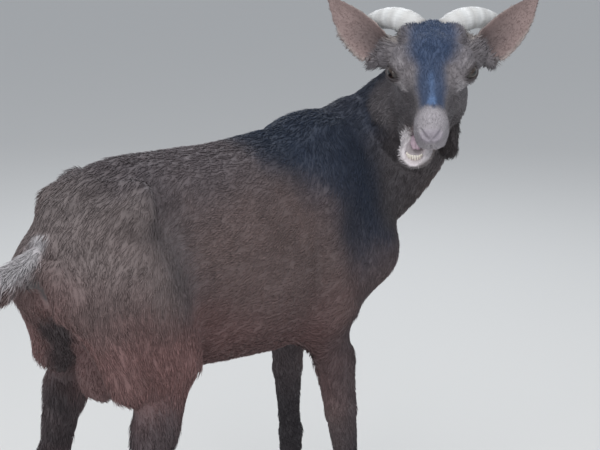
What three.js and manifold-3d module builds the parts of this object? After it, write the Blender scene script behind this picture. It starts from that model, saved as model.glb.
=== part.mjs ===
// A young, leggy, short-coated buck goat standing still, its head turned back over the right side
// with the mouth open. Millimetres, +Z up, the body facing +X and its left side towards +Y.
// The flesh is one smooth shape, parted by thin flat cuts at the joints where a person would
// name a new part. Ears, horns, eyes, wattles, teeth, tongue and claws are pieces of their own.

import * as THREE from 'three';
import { mergeVertices } from 'three/addons/utils/BufferGeometryUtils.js';
import Module from 'manifold-3d';

const wasm = await Module();
wasm.setup();

// ---------------------------------------------------------------- driving dimensions

const partingGap = 0.4;            // air between two pieces that touch in life
const ground = 40;                 // height of the ground in the frame the body is drawn in
const kneeHeight = 214;            // carpus, in the same frame
const fetlockHeight = 108;
const hockHeight = 274;
const elbowHeight = 462;
const legSpread = 76;              // centre line of a foot from the mid plane
const coronetHeight = 72;          // top of the claws at the middle of the foot
const coronetSlope = 0.3;          // the coronet rises towards the toe

const pollPoint = new THREE.Vector3(228, -146, 830);   // top of the skull between the horns
const headTurn = -148;             // degrees from +X to the way the nose points
const headDip = 21;                // degrees that the skull's long axis dips below level
const headRoll = 1;

const eyeRadius = 12.5;
const earLength = 119;
const jawDrop = 13;                // degrees that the lower jaw hangs open
const jawSwing = 9;                // degrees that it is swung to the animal's right

// Trunk stations from rump to breast: place along X, height of the topline, height of the
// underline, half width, height of the widest level, and how roof-like the back is (2 is round).
const trunkStations = [
  { x: -254, top: 690, bottom: 560, half: 38, widest: 616, roof: 1.6 },
  { x: -222, top: 707, bottom: 508, half: 60, widest: 606, roof: 1.6 },
  { x: -180, top: 715, bottom: 470, half: 78, widest: 600, roof: 1.62 },
  { x: -100, top: 710, bottom: 450, half: 93, widest: 570, roof: 1.85 },
  { x: -10, top: 705, bottom: 436, half: 103, widest: 545, roof: 1.9 },
  { x: 80, top: 707, bottom: 424, half: 97, widest: 540, roof: 1.7 },
  { x: 160, top: 708, bottom: 438, half: 80, widest: 545, roof: 1.55 },
  { x: 225, top: 688, bottom: 480, half: 60, widest: 565, roof: 1.8 },
];
const rumpRounding = 27;           // how far the barrel rounds off past its last stations
const breastRounding = 30;

// Neck stations from shoulder to skull: centre, direction of the nape, and half sizes.
const neckStations = [
  { at: [192, -2, 598], nape: [-0.66, 0, 0.75], deep: 100, wide: 60 },
  { at: [250, -26, 617], nape: [-0.68, 0.1, 0.72], deep: 96, wide: 57 },
  { at: [269, -67, 677], nape: [-0.45, 0.35, 0.8], deep: 80, wide: 50 },
  { at: [244, -102, 717], nape: [-0.1, 0.42, 0.88], deep: 61, wide: 43 },
  { at: [238, -138, 756], nape: [0.35, 0.36, 0.85], deep: 52, wide: 40 },
];

// Length of a facet's side along X, Y and Z on each part of the flesh.
const facet = {
  trunk: [44, 30, 28],
  neck: [29, 29, 29],
  head: [13.5, 13.5, 13.5],
  jaw: [11, 11, 11],
  thigh: [29, 22, 32],
  gaskin: [16, 14, 30],
  forearm: [15, 14, 32],
  cannon: [11, 11, 28],
  hock: [13, 12, 20],
  pastern: [14, 13, 24],
  tail: [13, 11, 11],
  scrotum: [15, 13, 14],
};

const coats = {
  trunk: '#3d322f', neck: '#33302f', head: '#3a3030', jaw: '#4a3c38', thigh: '#4a3431', leg: '#2c292b',
  tail: '#4a4242', scrotum: '#4c3833',
};

// ---------------------------------------------------------------- small helpers

const vec = (list) => new THREE.Vector3(...list);
const mix = (a, b, t) => a + (b - a) * t;
const clamp01 = (t) => Math.min(Math.max(t, 0), 1);
const rad = THREE.MathUtils.degToRad;

function smoothStep(from, to, value) {
  const t = clamp01((value - from) / (to - from));
  return t * t * (3 - 2 * t);
}

// Joins two distance values with a fillet about `blend` wide.
function joinSoft(a, b, blend) {
  const h = Math.max(blend - Math.abs(a - b), 0) / blend;
  return Math.min(a, b) - h * h * blend * 0.25;
}

// Value of a smooth curve through evenly treated stations (Catmull-Rom on one key).
function alongStations(stations, place, key) {
  const last = stations.length - 1;
  let i = 0;
  while (i < last - 1 && place > stations[i + 1].x) i += 1;
  const a = stations[Math.max(i - 1, 0)];
  const b = stations[i];
  const c = stations[i + 1];
  const d = stations[Math.min(i + 2, last)];
  const span = c.x - b.x;
  const t = clamp01((place - b.x) / span);
  const slopeB = a === b ? c[key] - b[key] : ((c[key] - a[key]) / (c.x - a.x)) * span;
  const slopeC = d === c ? c[key] - b[key] : ((d[key] - b[key]) / (d.x - b.x)) * span;
  const t2 = t * t;
  const t3 = t2 * t;
  return b[key] * (2 * t3 - 3 * t2 + 1) + slopeB * (t3 - 2 * t2 + t)
    + c[key] * (3 * t2 - 2 * t3) + slopeC * (t3 - t2);
}

// ---------------------------------------------------------------- building blocks of flesh

// A tapered limb of flesh from one point to another. `squash` narrows it across the body.
function limb(from, to, fromRadius, toRadius, blend = 20, squash = 1) {
  const [ax, ay, az] = from;
  const dx = to[0] - ax;
  const dy = (to[1] - ay) / squash;
  const dz = to[2] - az;
  const lengthSquared = dx * dx + dy * dy + dz * dz;
  const distance = (x, y, z) => {
    const px = x - ax;
    const py = (y - ay) / squash;
    const pz = z - az;
    const t = clamp01((px * dx + py * dy + pz * dz) / lengthSquared);
    const gap = Math.hypot(px - t * dx, py - t * dy, pz - t * dz);
    return gap - mix(fromRadius, toRadius, t);
  };
  return { distance, blend };
}

// A rounded mass with its own three half sizes, turned about the cross axis by `tilt` degrees.
function mass(centre, half, blend = 20, tilt = 0) {
  const cos = Math.cos(rad(tilt));
  const sin = Math.sin(rad(tilt));
  const distance = (x, y, z) => {
    const dx = x - centre[0];
    const dz = z - centre[2];
    const px = (dx * cos - dz * sin) / half[0];
    const py = (y - centre[1]) / half[1];
    const pz = (dx * sin + dz * cos) / half[2];
    const near = Math.hypot(px, py, pz);
    const slope = Math.hypot(px / half[0], py / half[1], pz / half[2]);
    return slope < 1e-9 ? -Math.min(...half) : (near * (near - 1)) / slope;
  };
  return { distance, blend };
}

function distanceTo(pieces, x, y, z) {
  let result = 1e6;
  for (const piece of pieces) result = joinSoft(result, piece.distance(x, y, z), piece.blend);
  return result;
}

// ---------------------------------------------------------------- trunk and neck

function trunkDistance(x, y, z) {
  const first = trunkStations[0].x;
  const last = trunkStations[trunkStations.length - 1].x;
  const place = Math.min(Math.max(x, first), last);
  const past = x < first ? (first - x) / rumpRounding : (x - last) / breastRounding;
  const closing = past <= 0 ? 1 : Math.sqrt(Math.max(1 - past * past, 0.0004));
  const widest = alongStations(trunkStations, place, 'widest');
  const half = alongStations(trunkStations, place, 'half') * closing;
  const above = z > widest;
  const edge = alongStations(trunkStations, place, above ? 'top' : 'bottom');
  const tall = Math.abs(edge - widest) * closing;
  const power = above ? alongStations(trunkStations, place, 'roof') : 2.15;
  const across = (Math.abs(y) / half) ** power;
  const up = (Math.abs(z - widest) / tall) ** power;
  const level = (across + up) ** (1 / power) - 1;
  const beyond = Math.max(past - 1, 0) * rumpRounding;
  return Math.max(level * Math.min(half, tall) * 0.9, beyond > 0 ? beyond : -1e6);
}

const neckPath = new THREE.CatmullRomCurve3(neckStations.map((s) => vec(s.at)));
const neckSteps = 28;
const neckRows = Array.from({ length: neckSteps + 1 }, (_, i) => {
  const t = i / neckSteps;
  const spot = t * (neckStations.length - 1);
  const k = Math.min(Math.floor(spot), neckStations.length - 2);
  const part = spot - k;
  const a = neckStations[k];
  const b = neckStations[k + 1];
  const at = neckPath.getPoint(t);
  const run = neckPath.getTangent(t);
  const nape = vec(a.nape).lerp(vec(b.nape), part);
  nape.addScaledVector(run, -nape.dot(run)).normalize();
  const side = new THREE.Vector3().crossVectors(run, nape);
  return { at, run, nape, side, deep: mix(a.deep, b.deep, part), wide: mix(a.wide, b.wide, part) };
});

function neckDistance(x, y, z) {
  const p = new THREE.Vector3(x, y, z);
  let best = 1e6;
  for (const row of neckRows) {
    const d = p.clone().sub(row.at);
    const s = d.dot(row.side) / row.wide;
    const n = d.dot(row.nape) / row.deep;
    const r = d.dot(row.run) / row.wide;
    const value = (Math.hypot(s, n, r) - 1) * row.wide;
    best = Math.min(best, value);
  }
  return best;
}

// ---------------------------------------------------------------- legs

// The two sides stand a little differently, so each foot's place along X is its own.
const stance = {
  right: {
    side: -1, elbow: 110, knee: 161, forefoot: 164, pin: -284, stifle: -170, hock: -258, hindfoot: -244,
  },
  left: {
    side: 1, elbow: 188, knee: 228, forefoot: 226, pin: -264, stifle: -152, hock: -242, hindfoot: -236,
  },
};

function shoulderFlesh({ side, elbow }) {
  const shoulder = mix(222, 238, (elbow - 110) / 78);
  return [
    limb([160, 34 * side, 667], [shoulder, 50 * side, 534], 22, 42, 44),
    limb([shoulder, 51 * side, 526], [elbow + 12, 60 * side, elbowHeight + 12], 41, 35, 40),
    limb([120, 48 * side, 612], [elbow + 6, 58 * side, 494], 28, 33, 50),
  ];
}

function forelegFlesh({ side, elbow, knee, forefoot }) {
  const y = legSpread * side;
  const slantX = (h) => mix(elbow + 18, knee, (elbowHeight - h) / (elbowHeight - kneeHeight));
  const cannonX = (h) => mix(forefoot, knee, (h - fetlockHeight) / (kneeHeight - fetlockHeight));
  return [
    limb([elbow + 3, 64 * side, elbowHeight + 2], [slantX(404) + 2, 68 * side, 404], 32, 30, 26, 0.86),
    limb([slantX(404) + 2, 68 * side, 404], [slantX(334), 73 * side, 334], 31, 24.5, 6, 0.86),
    limb([slantX(334), 73 * side, 334], [slantX(256), y, 256], 24.5, 16.5, 5, 0.88),
    limb([slantX(256), y, 256], [knee, y, kneeHeight + 14], 16.5, 18, 5, 0.95),
    limb([knee, y, kneeHeight + 14], [knee, y, kneeHeight - 12], 18, 16.5, 5, 1.05),
    limb([knee, y, kneeHeight - 12], [knee - 2, y, 186], 16.5, 13, 5, 0.95),
    limb([knee - 2, y, 186], [cannonX(146) - 2, y, 146], 13, 12, 5, 0.9),
    limb([cannonX(146) - 2, y, 146], [forefoot - 1, y, fetlockHeight + 4], 12, 16, 5, 1),
    limb([forefoot - 1, y, fetlockHeight + 4], [forefoot, y, fetlockHeight - 8], 16, 15.5, 5, 1.08),
    limb([forefoot, y, fetlockHeight - 8], [forefoot + 15, y, 75], 15, 16, 5, 1.15),
    limb([forefoot + 15, y, 75], [forefoot + 24, y, 57], 16, 17, 5, 1.2),
  ];
}

function hipFlesh({ side, pin, stifle }) {
  return [
    limb([-184, 50 * side, 684], [-202, 56 * side, 664], 13, 23, 18),           // hook bone
    limb([pin, 27 * side, 616], [pin + 10, 38 * side, 588], 16, 26, 24),        // pin bone
    mass([-202, 46 * side, 586], [58, 39, 77], 36, -16),                        // rump and upper thigh
    limb([-205, 56 * side, 584], [stifle, 66 * side, 508], 44, 37, 30),         // front of the thigh
    limb([pin + 30, 42 * side, 584], [pin + 56, 68 * side, 492], 26, 27, 28),   // hamstring
  ];
}

function hindlegFlesh({ side, stifle, hock, hindfoot }) {
  const y = (legSpread + 4) * side;
  const shinX = (h) => mix(stifle - 12, hock + 8, (492 - h) / (492 - hockHeight));
  const cannonX = (h) => mix(hindfoot, hock, (h - fetlockHeight) / (hockHeight - fetlockHeight));
  return [
    limb([stifle - 4, 71 * side, 498], [shinX(430), y, 430], 36, 27, 24, 0.85),
    limb([shinX(440) - 8, y, 440], [shinX(340) - 2, y, 340], 29, 17, 12, 0.85),
    limb([shinX(340), y, 340], [hock + 5, y, hockHeight + 4], 16.5, 17.5, 5, 0.92),
    limb([shinX(370) - 20, y, 370], [hock - 22, y, hockHeight + 14], 8.5, 9.5, 14),   // heel tendon
    limb([hock - 22, y, hockHeight + 14], [hock - 8, y, hockHeight - 18], 10, 14, 12),
    limb([hock + 5, y, hockHeight + 4], [hock - 2, y, hockHeight - 26], 17.5, 16, 5, 0.95),
    limb([hock - 2, y, hockHeight - 26], [cannonX(216) - 1, y, 216], 16, 13.2, 5, 0.92),
    limb([cannonX(216) - 1, y, 216], [cannonX(150), y, 150], 13.2, 12.6, 5, 0.9),
    limb([cannonX(150), y, 150], [hindfoot - 1, y, fetlockHeight + 4], 12.6, 16, 5, 1),
    limb([hindfoot - 1, y, fetlockHeight + 4], [hindfoot, y, fetlockHeight - 8], 16, 15.5, 5, 1.08),
    limb([hindfoot, y, fetlockHeight - 8], [hindfoot + 14, y, 75], 15, 16, 5, 1.15),
    limb([hindfoot + 14, y, 75], [hindfoot + 22, y, 57], 16, 17, 5, 1.2),
  ];
}

// ---------------------------------------------------------------- head, in its own frame

// The skull's frame: X towards the nose, Y to the animal's left, Z up, origin at the poll.
const headFrame = new THREE.Matrix4();
{
  const forward = new THREE.Vector3(
    Math.cos(rad(headTurn)) * Math.cos(rad(headDip)),
    Math.sin(rad(headTurn)) * Math.cos(rad(headDip)),
    -Math.sin(rad(headDip)),
  );
  const left = new THREE.Vector3(-Math.sin(rad(headTurn)), Math.cos(rad(headTurn)), 0);
  const up = new THREE.Vector3().crossVectors(forward, left);
  headFrame.makeBasis(forward, left, up);
  headFrame.multiply(new THREE.Matrix4().makeRotationX(rad(headRoll)));
  headFrame.setPosition(pollPoint);
}
const intoHead = headFrame.clone().invert();

// The lower jaw turns about its hinge below the ear, down and to the animal's right.
const jawHinge = new THREE.Vector3(26, 0, -34);
const jawFrame = new THREE.Matrix4().makeTranslation(jawHinge);
jawFrame.multiply(new THREE.Matrix4().makeRotationZ(rad(-jawSwing)));
jawFrame.multiply(new THREE.Matrix4().makeRotationY(rad(jawDrop)));
jawFrame.multiply(new THREE.Matrix4().makeTranslation(jawHinge.clone().negate()));
const intoJaw = jawFrame.clone().invert();

function skullFlesh() {
  const pieces = [
    mass([42, 0, -22], [52, 40, 36], 18, 8),                       // cranium and forehead
    mass([14, 0, -14], [30, 34, 25], 18),                          // back of the skull
    limb([56, 0, -8], [112, 0, -25], 20, 16, 14, 1.42),             // upper face
    limb([108, 0, -26], [158, 0, -41], 16, 15, 12, 1.1),           // nose bridge
    mass([160, 0, -48], [25, 16.6, 20], 12, 16),                   // muzzle
    mass([173, 0, -44], [12, 13.2, 11], 10, 12),                   // nose pad
    mass([120, 0, -48], [48, 19.5, 18], 14, 12),                   // upper jaw
    mass([70, 0, -62], [38, 24, 30], 16),                          // throat side of the face
  ];
  for (const side of [-1, 1]) {
    pieces.push(limb([64, 35 * side, -9], [77, 37 * side, -17], 15, 14.4, 12));    // orbit
    pieces.push(limb([96, 25 * side, -28], [62, 37 * side, -28], 11, 12, 14));        // cheek bone
    pieces.push(mass([50, 25 * side, -58], [33, 17, 36], 16, -12));                   // jaw muscle
    pieces.push(limb([26, 26 * side, 2], [12, 30 * side, -4], 14, 12, 12));           // horn boss
    pieces.push(limb([18, 34 * side, -22], [22, 46 * side, -27], 15, 12, 12));        // ear root
    pieces.push(limb([146, 10.5 * side, -58], [170, 7 * side, -62], 10, 8.5, 8));       // upper lip
    pieces.push(limb([84, 13 * side, -66], [118, 11 * side, -69], 15, 10.5, 10));     // cheek to the mouth's corner
  }
  return pieces;
}

function jawFlesh() {
  const pieces = [
    limb([150, 0, -74], [162, 0, -70], 13, 9, 10, 1.25),           // chin
    mass([158, 0, -67], [14, 15.5, 8], 8),                         // lower lip
    mass([96, 0, -78], [58, 18, 13], 14, -6),                      // floor of the mouth
  ];
  for (const side of [-1, 1]) {
    pieces.push(limb([40, 21 * side, -80], [104, 15 * side, -80], 16, 12.5, 14));
    pieces.push(limb([100, 15 * side, -78], [152, 10 * side, -72], 12, 8.5, 10));
  }
  return pieces;
}

// The open mouth, a wedge that is deepest at the lips and closes at the corners.
function mouthDistance(x, y, z) {
  const roof = mass([166, 0, -67.5], [42, 13, 5], 4, 10).distance(x, y, z);
  const q = new THREE.Vector3(x, y, z).applyMatrix4(intoJaw);
  const floor = mass([149, 0, -61.5], [31, 10.5, 6.5], 4, 2).distance(q.x, q.y, q.z);
  const between = mass([168, -6, -76], [42, 21, 7.5], 4, 18).distance(x, y, z);
  return joinSoft(joinSoft(roof, floor, 6), between, 6);
}

const skull = skullFlesh();
const jaw = jawFlesh();

function headDistance(x, y, z) {
  const p = new THREE.Vector3(x, y, z).applyMatrix4(intoHead);
  if (Math.hypot(p.x - 85, p.y, p.z + 40) > 230) return 60;
  const upper = distanceTo(skull, p.x, p.y, p.z);
  const q = p.clone().applyMatrix4(intoJaw);
  const lower = distanceTo(jaw, q.x, q.y, q.z);
  const blend = mix(3, 16, smoothStep(125, 95, p.x));
  return Math.max(joinSoft(upper, lower, blend), -mouthDistance(p.x, p.y, p.z));
}

// ---------------------------------------------------------------- tail, scrotum, whole body

const tailRoot = [-272, 0, 630];
const tailFlesh = [
  limb(tailRoot, [-330, 3, 610], 15, 14, 18),
  limb([-330, 3, 610], [-372, 8, 588], 14, 12.5, 10, 1.2),
  limb([-372, 8, 588], [-400, 11, 560], 12.5, 8, 8, 1.2),
];
const scrotumFlesh = [
  mass([-206, 0, 478], [27, 25, 34], 10),
  limb([-205, 0, 494], [-208, 0, 534], 16, 20, 24),
];

const bodyPieces = [
  { distance: trunkDistance, blend: 30 },
  { distance: neckDistance, blend: 46 },
  ...Object.values(stance).flatMap((leg) => [...shoulderFlesh(leg), ...hipFlesh(leg)]),
];
const legPieces = Object.values(stance).map((leg) => [...forelegFlesh(leg), ...hindlegFlesh(leg)]);

function fleshDistance(x, y, z) {
  let result = distanceTo(bodyPieces, x, y, z);
  result = joinSoft(result, headDistance(x, y, z), 26);
  const leg = distanceTo(legPieces[y < 0 ? 0 : 1], x, y, z);
  result = joinSoft(result, leg, 24);
  return joinSoft(result, distanceTo(tailFlesh, x, y, z), 14);
}

// The head alone, with the neck that it grows from.
const headAndNeck = (x, y, z) => joinSoft(neckDistance(x, y, z), headDistance(x, y, z), 26);

// ---------------------------------------------------------------- parting planes

// A plane through `at`; `keep` points to the side that is kept.
const plane = (at, keep) => ({ at: vec(at), keep: vec(keep).normalize() });
const flipped = ({ at, keep }) => ({ at, keep: keep.clone().negate() });

const headPoint = (x, y, z) => new THREE.Vector3(x, y, z).applyMatrix4(headFrame).toArray();
const headWay = (x, y, z) => new THREE.Vector3(x, y, z).transformDirection(headFrame).toArray();

const cuts = {
  neckFromHead: plane(headPoint(14, 0, -60), headWay(0.72, 0, 0.69)),
  trunkFromNeck: plane([216, 0, 600], [-0.93, 0, -0.36]),
  trunkFromTail: plane([-308, 0, 617], [1, 0, 0.3]),
  trunkFromThighs: plane([-222, 0, 552], [0.58, 0, 0.815]),
};
const level = (height) => plane([0, 0, height], [0, 0, 1]);
const beyond = (place) => plane([place, 0, 0], [1, 0, 0]);

// Thighs and gaskins lie behind and below an oblique plane, and behind the fold of the flank.
const hindRegion = [flipped(cuts.trunkFromThighs), flipped(beyond(-112))];
const stifleCut = level(457);

// The lower jaw ends behind the corner of the mouth.
const jawCut = plane(headPoint(112, 0, -75), headWay(1, 0, -0.25));
const lipLine = plane(headPoint(150, 0, -67), headWay(-0.26, 0.0, -0.96));

// The block round the top of a foreleg that belongs to the leg and not to the trunk.
const elbowCut = level(446);
const foreRegion = ({ side, elbow }) => [
  flipped(elbowCut), plane([0, side * 26, 0], [0, side, 0]), beyond(elbow - 50), flipped(beyond(elbow + 90)),
];

// ---------------------------------------------------------------- turning flesh into facets

// A cell's corners are numbered by their bits (1 is X, 2 is Y, 4 is Z), four edges to an axis.
const cellEdges = [
  [0, 1], [2, 3], [4, 5], [6, 7], [0, 2], [1, 3], [4, 6], [5, 7], [0, 4], [1, 5], [2, 6], [3, 7],
];
const cellFaces = [[0, 2, 6, 4], [1, 3, 7, 5], [0, 1, 5, 4], [2, 3, 7, 6], [0, 1, 3, 2], [4, 5, 7, 6]];
const edgeBetween = (a, b) => cellEdges.findIndex(([p, q]) => (p === a && q === b) || (p === b && q === a));
const faceEdges = cellFaces.map((face) => face.map((corner, i) => edgeBetween(corner, face[(i + 1) % 4])));

// Groups a cell's crossed edges into its separate sheets of surface, so no two sheets share a point.
function sheetsOf(inside) {
  const group = cellEdges.map((_, e) => e);
  const find = (e) => (group[e] === e ? e : find(group[e]));
  const crossed = (e) => inside[cellEdges[e][0]] !== inside[cellEdges[e][1]];
  faceEdges.forEach((ring, f) => {
    const cut = ring.filter(crossed);
    if (cut.length === 2) group[find(cut[0])] = find(cut[1]);
    if (cut.length === 4) {
      cellFaces[f].forEach((corner, i) => {
        if (inside[corner]) group[find(ring[i])] = find(ring[(i + 3) % 4]);
      });
    }
  });
  const sheets = new Map();
  for (let e = 0; e < 12; e += 1) {
    if (!crossed(e)) continue;
    if (!sheets.has(find(e))) sheets.set(find(e), []);
    sheets.get(find(e)).push(e);
  }
  return [...sheets.values()];
}

// Net of facets on the zero level of `field`, one quad to a crossed edge of the grid of cells.
function netSurface(field, box, cell) {
  const low = box.min;
  const [sx, sy, sz] = cell;
  const span = box.getSize(new THREE.Vector3());
  const [nx, ny, nz] = [span.x / sx, span.y / sy, span.z / sz].map((cells) => Math.ceil(cells) + 1);
  const index = (i, j, k) => i + nx * (j + ny * k);
  const value = new Float64Array(nx * ny * nz);
  for (let k = 0; k < nz; k += 1) {
    for (let j = 0; j < ny; j += 1) {
      for (let i = 0; i < nx; i += 1) value[index(i, j, k)] = field(low.x + i * sx, low.y + j * sy, low.z + k * sz);
    }
  }
  const step = [1, nx, nx * ny];
  const cornerStep = Array.from({ length: 8 }, (_, c) => (c & 1) + ((c >> 1) & 1) * nx + (c >> 2) * nx * ny);
  const vertexOn = new Map();
  const points = [];
  for (let k = 0; k < nz - 1; k += 1) {
    for (let j = 0; j < ny - 1; j += 1) {
      for (let i = 0; i < nx - 1; i += 1) {
        const base = index(i, j, k);
        const corner = cornerStep.map((s) => value[base + s]);
        const inside = corner.map((v) => v < 0);
        if (inside.every((v) => v === inside[0])) continue;
        for (const sheet of sheetsOf(inside)) {
          const middle = new THREE.Vector3();
          for (const e of sheet) {
            const [a, b] = cellEdges[e];
            const t = corner[a] / (corner[a] - corner[b]);
            middle.x += mix(a & 1, b & 1, t);
            middle.y += mix((a >> 1) & 1, (b >> 1) & 1, t);
            middle.z += mix(a >> 2, b >> 2, t);
            vertexOn.set(base * 12 + e, points.length);
          }
          middle.divideScalar(sheet.length).add(new THREE.Vector3(i, j, k)).multiply(vec(cell)).add(low);
          points.push(settle(field, middle, Math.min(...cell)));
        }
      }
    }
  }
  const faces = [];
  const addQuad = (quad) => {
    const [p, q, r, s] = quad.map((v) => points[v]);
    if (p.distanceToSquared(r) < q.distanceToSquared(s)) {
      faces.push([quad[0], quad[1], quad[2]], [quad[0], quad[2], quad[3]]);
    } else {
      faces.push([quad[1], quad[2], quad[3]], [quad[1], quad[3], quad[0]]);
    }
  };
  for (let k = 1; k < nz - 1; k += 1) {
    for (let j = 1; j < ny - 1; j += 1) {
      for (let i = 1; i < nx - 1; i += 1) {
        const base = index(i, j, k);
        for (let axis = 0; axis < 3; axis += 1) {
          const here = value[base] < 0;
          if (here === value[base + step[axis]] < 0) continue;
          const u = step[(axis + 1) % 3];
          const v = step[(axis + 2) % 3];
          const [uBit, vBit] = axis === 1 ? [2, 1] : [1, 2];
          const at = (from, bits) => vertexOn.get(from * 12 + axis * 4 + bits);
          const quad = [at(base - u - v, 3), at(base - v, vBit), at(base, 0), at(base - u, uBit)];
          addQuad(here ? quad : quad.reverse());
        }
      }
    }
  }
  return { points, faces };
}

// Moves a point onto the zero level of the field, at most a third of a facet.
function settle(field, point, size) {
  const p = point.clone();
  const h = size * 0.05;
  for (let round = 0; round < 3; round += 1) {
    const f = field(p.x, p.y, p.z);
    const g = new THREE.Vector3(
      field(p.x + h, p.y, p.z) - field(p.x - h, p.y, p.z),
      field(p.x, p.y + h, p.z) - field(p.x, p.y - h, p.z),
      field(p.x, p.y, p.z + h) - field(p.x, p.y, p.z - h),
    ).divideScalar(2 * h);
    const steep = g.lengthSq();
    if (steep < 0.05) break;
    p.addScaledVector(g, THREE.MathUtils.clamp(-f / steep, -size * 0.2, size * 0.2));
  }
  return p.sub(point).clampLength(0, size * 0.35).add(point);
}

// ---------------------------------------------------------------- solids

function solidFrom(points, faces) {
  const vertProperties = new Float32Array(points.flatMap((p) => [p.x, p.y, p.z]));
  const triVerts = new Uint32Array(faces.flat());
  return new wasm.Manifold(new wasm.Mesh({ numProp: 3, vertProperties, triVerts }));
}

function solidFromGeometry(geometry) {
  const bare = geometry.clone();
  bare.deleteAttribute('normal');
  bare.deleteAttribute('uv');
  const merged = mergeVertices(bare, 1e-4);
  const vertProperties = new Float32Array(merged.attributes.position.array);
  const triVerts = new Uint32Array(merged.index.array);
  return new wasm.Manifold(new wasm.Mesh({ numProp: 3, vertProperties, triVerts }));
}

function geometryFrom(solid) {
  const { vertProperties, triVerts } = solid.getMesh();
  const geometry = new THREE.BufferGeometry();
  geometry.setAttribute('position', new THREE.Float32BufferAttribute(vertProperties, 3));
  geometry.setIndex(new THREE.BufferAttribute(triVerts, 1));
  geometry.computeVertexNormals();
  return geometry;
}

// A block that fills the side of a plane that is cut away.
function blockBeyond({ at, keep }, room = partingGap / 2) {
  const size = 1600;
  const block = new THREE.BoxGeometry(size, size, size);
  const turn = new THREE.Quaternion().setFromUnitVectors(new THREE.Vector3(0, 0, 1), keep);
  block.applyQuaternion(turn);
  block.translate(...at.clone().addScaledVector(keep, room - size / 2).toArray());
  return solidFromGeometry(block);
}

// One named length of the flesh inside `box`, cut by planes and by the pieces set into it.
function fleshSolid({ box, cell, planes, field = fleshDistance, inserts = [], without = [] }) {
  const bounds = new THREE.Box3(vec(box[0]), vec(box[1]));
  const { min, max } = bounds;
  const margin = Math.max(...cell) * 1.3;
  const trimmed = (x, y, z) => {
    let d = field(x, y, z);
    for (const { at, keep } of planes) {
      d = Math.max(d, -((x - at.x) * keep.x + (y - at.y) * keep.y + (z - at.z) * keep.z) - margin);
    }
    return Math.max(
      d,
      Math.max(min.x - x, x - max.x) + cell[0] * 1.05,
      Math.max(min.y - y, y - max.y) + cell[1] * 1.05,
      Math.max(min.z - z, z - max.z) + cell[2] * 1.05,
    );
  };
  const { points, faces } = netSurface(trimmed, bounds, cell);
  let solid = solidFrom(points, faces);
  for (const cut of planes) solid = solid.subtract(blockBeyond(cut));
  for (const region of without) {
    const blocks = region.map((cut) => blockBeyond(flipped(cut)));
    solid = solid.subtract(blocks.reduce((all, block) => all.intersect(block)));
  }
  for (const piece of inserts) solid = solid.subtract(piece);
  return solid;
}

// ---------------------------------------------------------------- lofted pieces

// Closed skin over rings of equal count. A point closes each end, or on a curled section, whose
// ring runs out along one side of a sheet and back along the other, a strip across the sheet.
function loft(rings, curled = false) {
  const count = rings[0].length;
  const points = rings.flat();
  const faces = [];
  for (let r = 0; r < rings.length - 1; r += 1) {
    for (let i = 0; i < count; i += 1) {
      const a = r * count + i;
      const b = r * count + ((i + 1) % count);
      faces.push([a, b, b + count], [a, b + count, a + count]);
    }
  }
  const close = (first, face) => {
    if (curled) {
      for (let i = 0; i < count / 2 - 1; i += 1) {
        face(first + i, first + i + 1, first + count - 2 - i);
        face(first + i, first + count - 2 - i, first + count - 1 - i);
      }
      return;
    }
    const tip = points.length;
    const ring = points.slice(first, first + count);
    points.push(ring.reduce((sum, p) => sum.add(p), new THREE.Vector3()).divideScalar(count));
    for (let i = 0; i < count; i += 1) face(first + i, first + ((i + 1) % count), tip);
  };
  close(0, (a, b, c) => faces.push([b, a, c]));
  close((rings.length - 1) * count, (a, b, c) => faces.push([a, b, c]));
  const solid = solidFrom(points, faces);
  return solid.volume() < 0 ? solidFrom(points, faces.map((f) => [f[0], f[2], f[1]])) : solid;
}

// Rounded rings around a path; `size(t)` gives the two half sizes at each step.
function sweptRings(path, steps, around, size, upHint, grow = 0) {
  const rings = [];
  for (let s = 0; s <= steps; s += 1) {
    const t = s / steps;
    const at = path.getPoint(t);
    const run = path.getTangent(t);
    const side = new THREE.Vector3().crossVectors(upHint, run).normalize();
    const up = new THREE.Vector3().crossVectors(run, side);
    const [wide, tall] = size(t);
    rings.push(Array.from({ length: around }, (_, i) => {
      const angle = (i / around) * Math.PI * 2;
      return at.clone()
        .addScaledVector(side, Math.cos(angle) * (wide + grow))
        .addScaledVector(up, Math.sin(angle) * (tall + grow));
    }));
  }
  return rings;
}

const headMirror = (side, x, y, z) => new THREE.Vector3(x, y * side, z).applyMatrix4(headFrame);

// Horn: short and thick, sweeping out, back and down from the top of the skull.
function horn(side, grow = 0) {
  const path = new THREE.CatmullRomCurve3([
    headMirror(side, 16, 13, -5),
    headMirror(side, 1, 29, 4),
    headMirror(side, -15, 48, 3),
    headMirror(side, -31, 67, -7),
    headMirror(side, -44, 82, -21),
  ]);
  const size = (t) => {
    const radius = mix(18.5, 10.5, t ** 0.9) * (t > 0.93 ? 0.66 : 1);
    return [radius, radius * 0.88];
  };
  return loft(sweptRings(path, 7, 9, size, vec(headWay(1, 0, 0.4)), grow));
}

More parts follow.
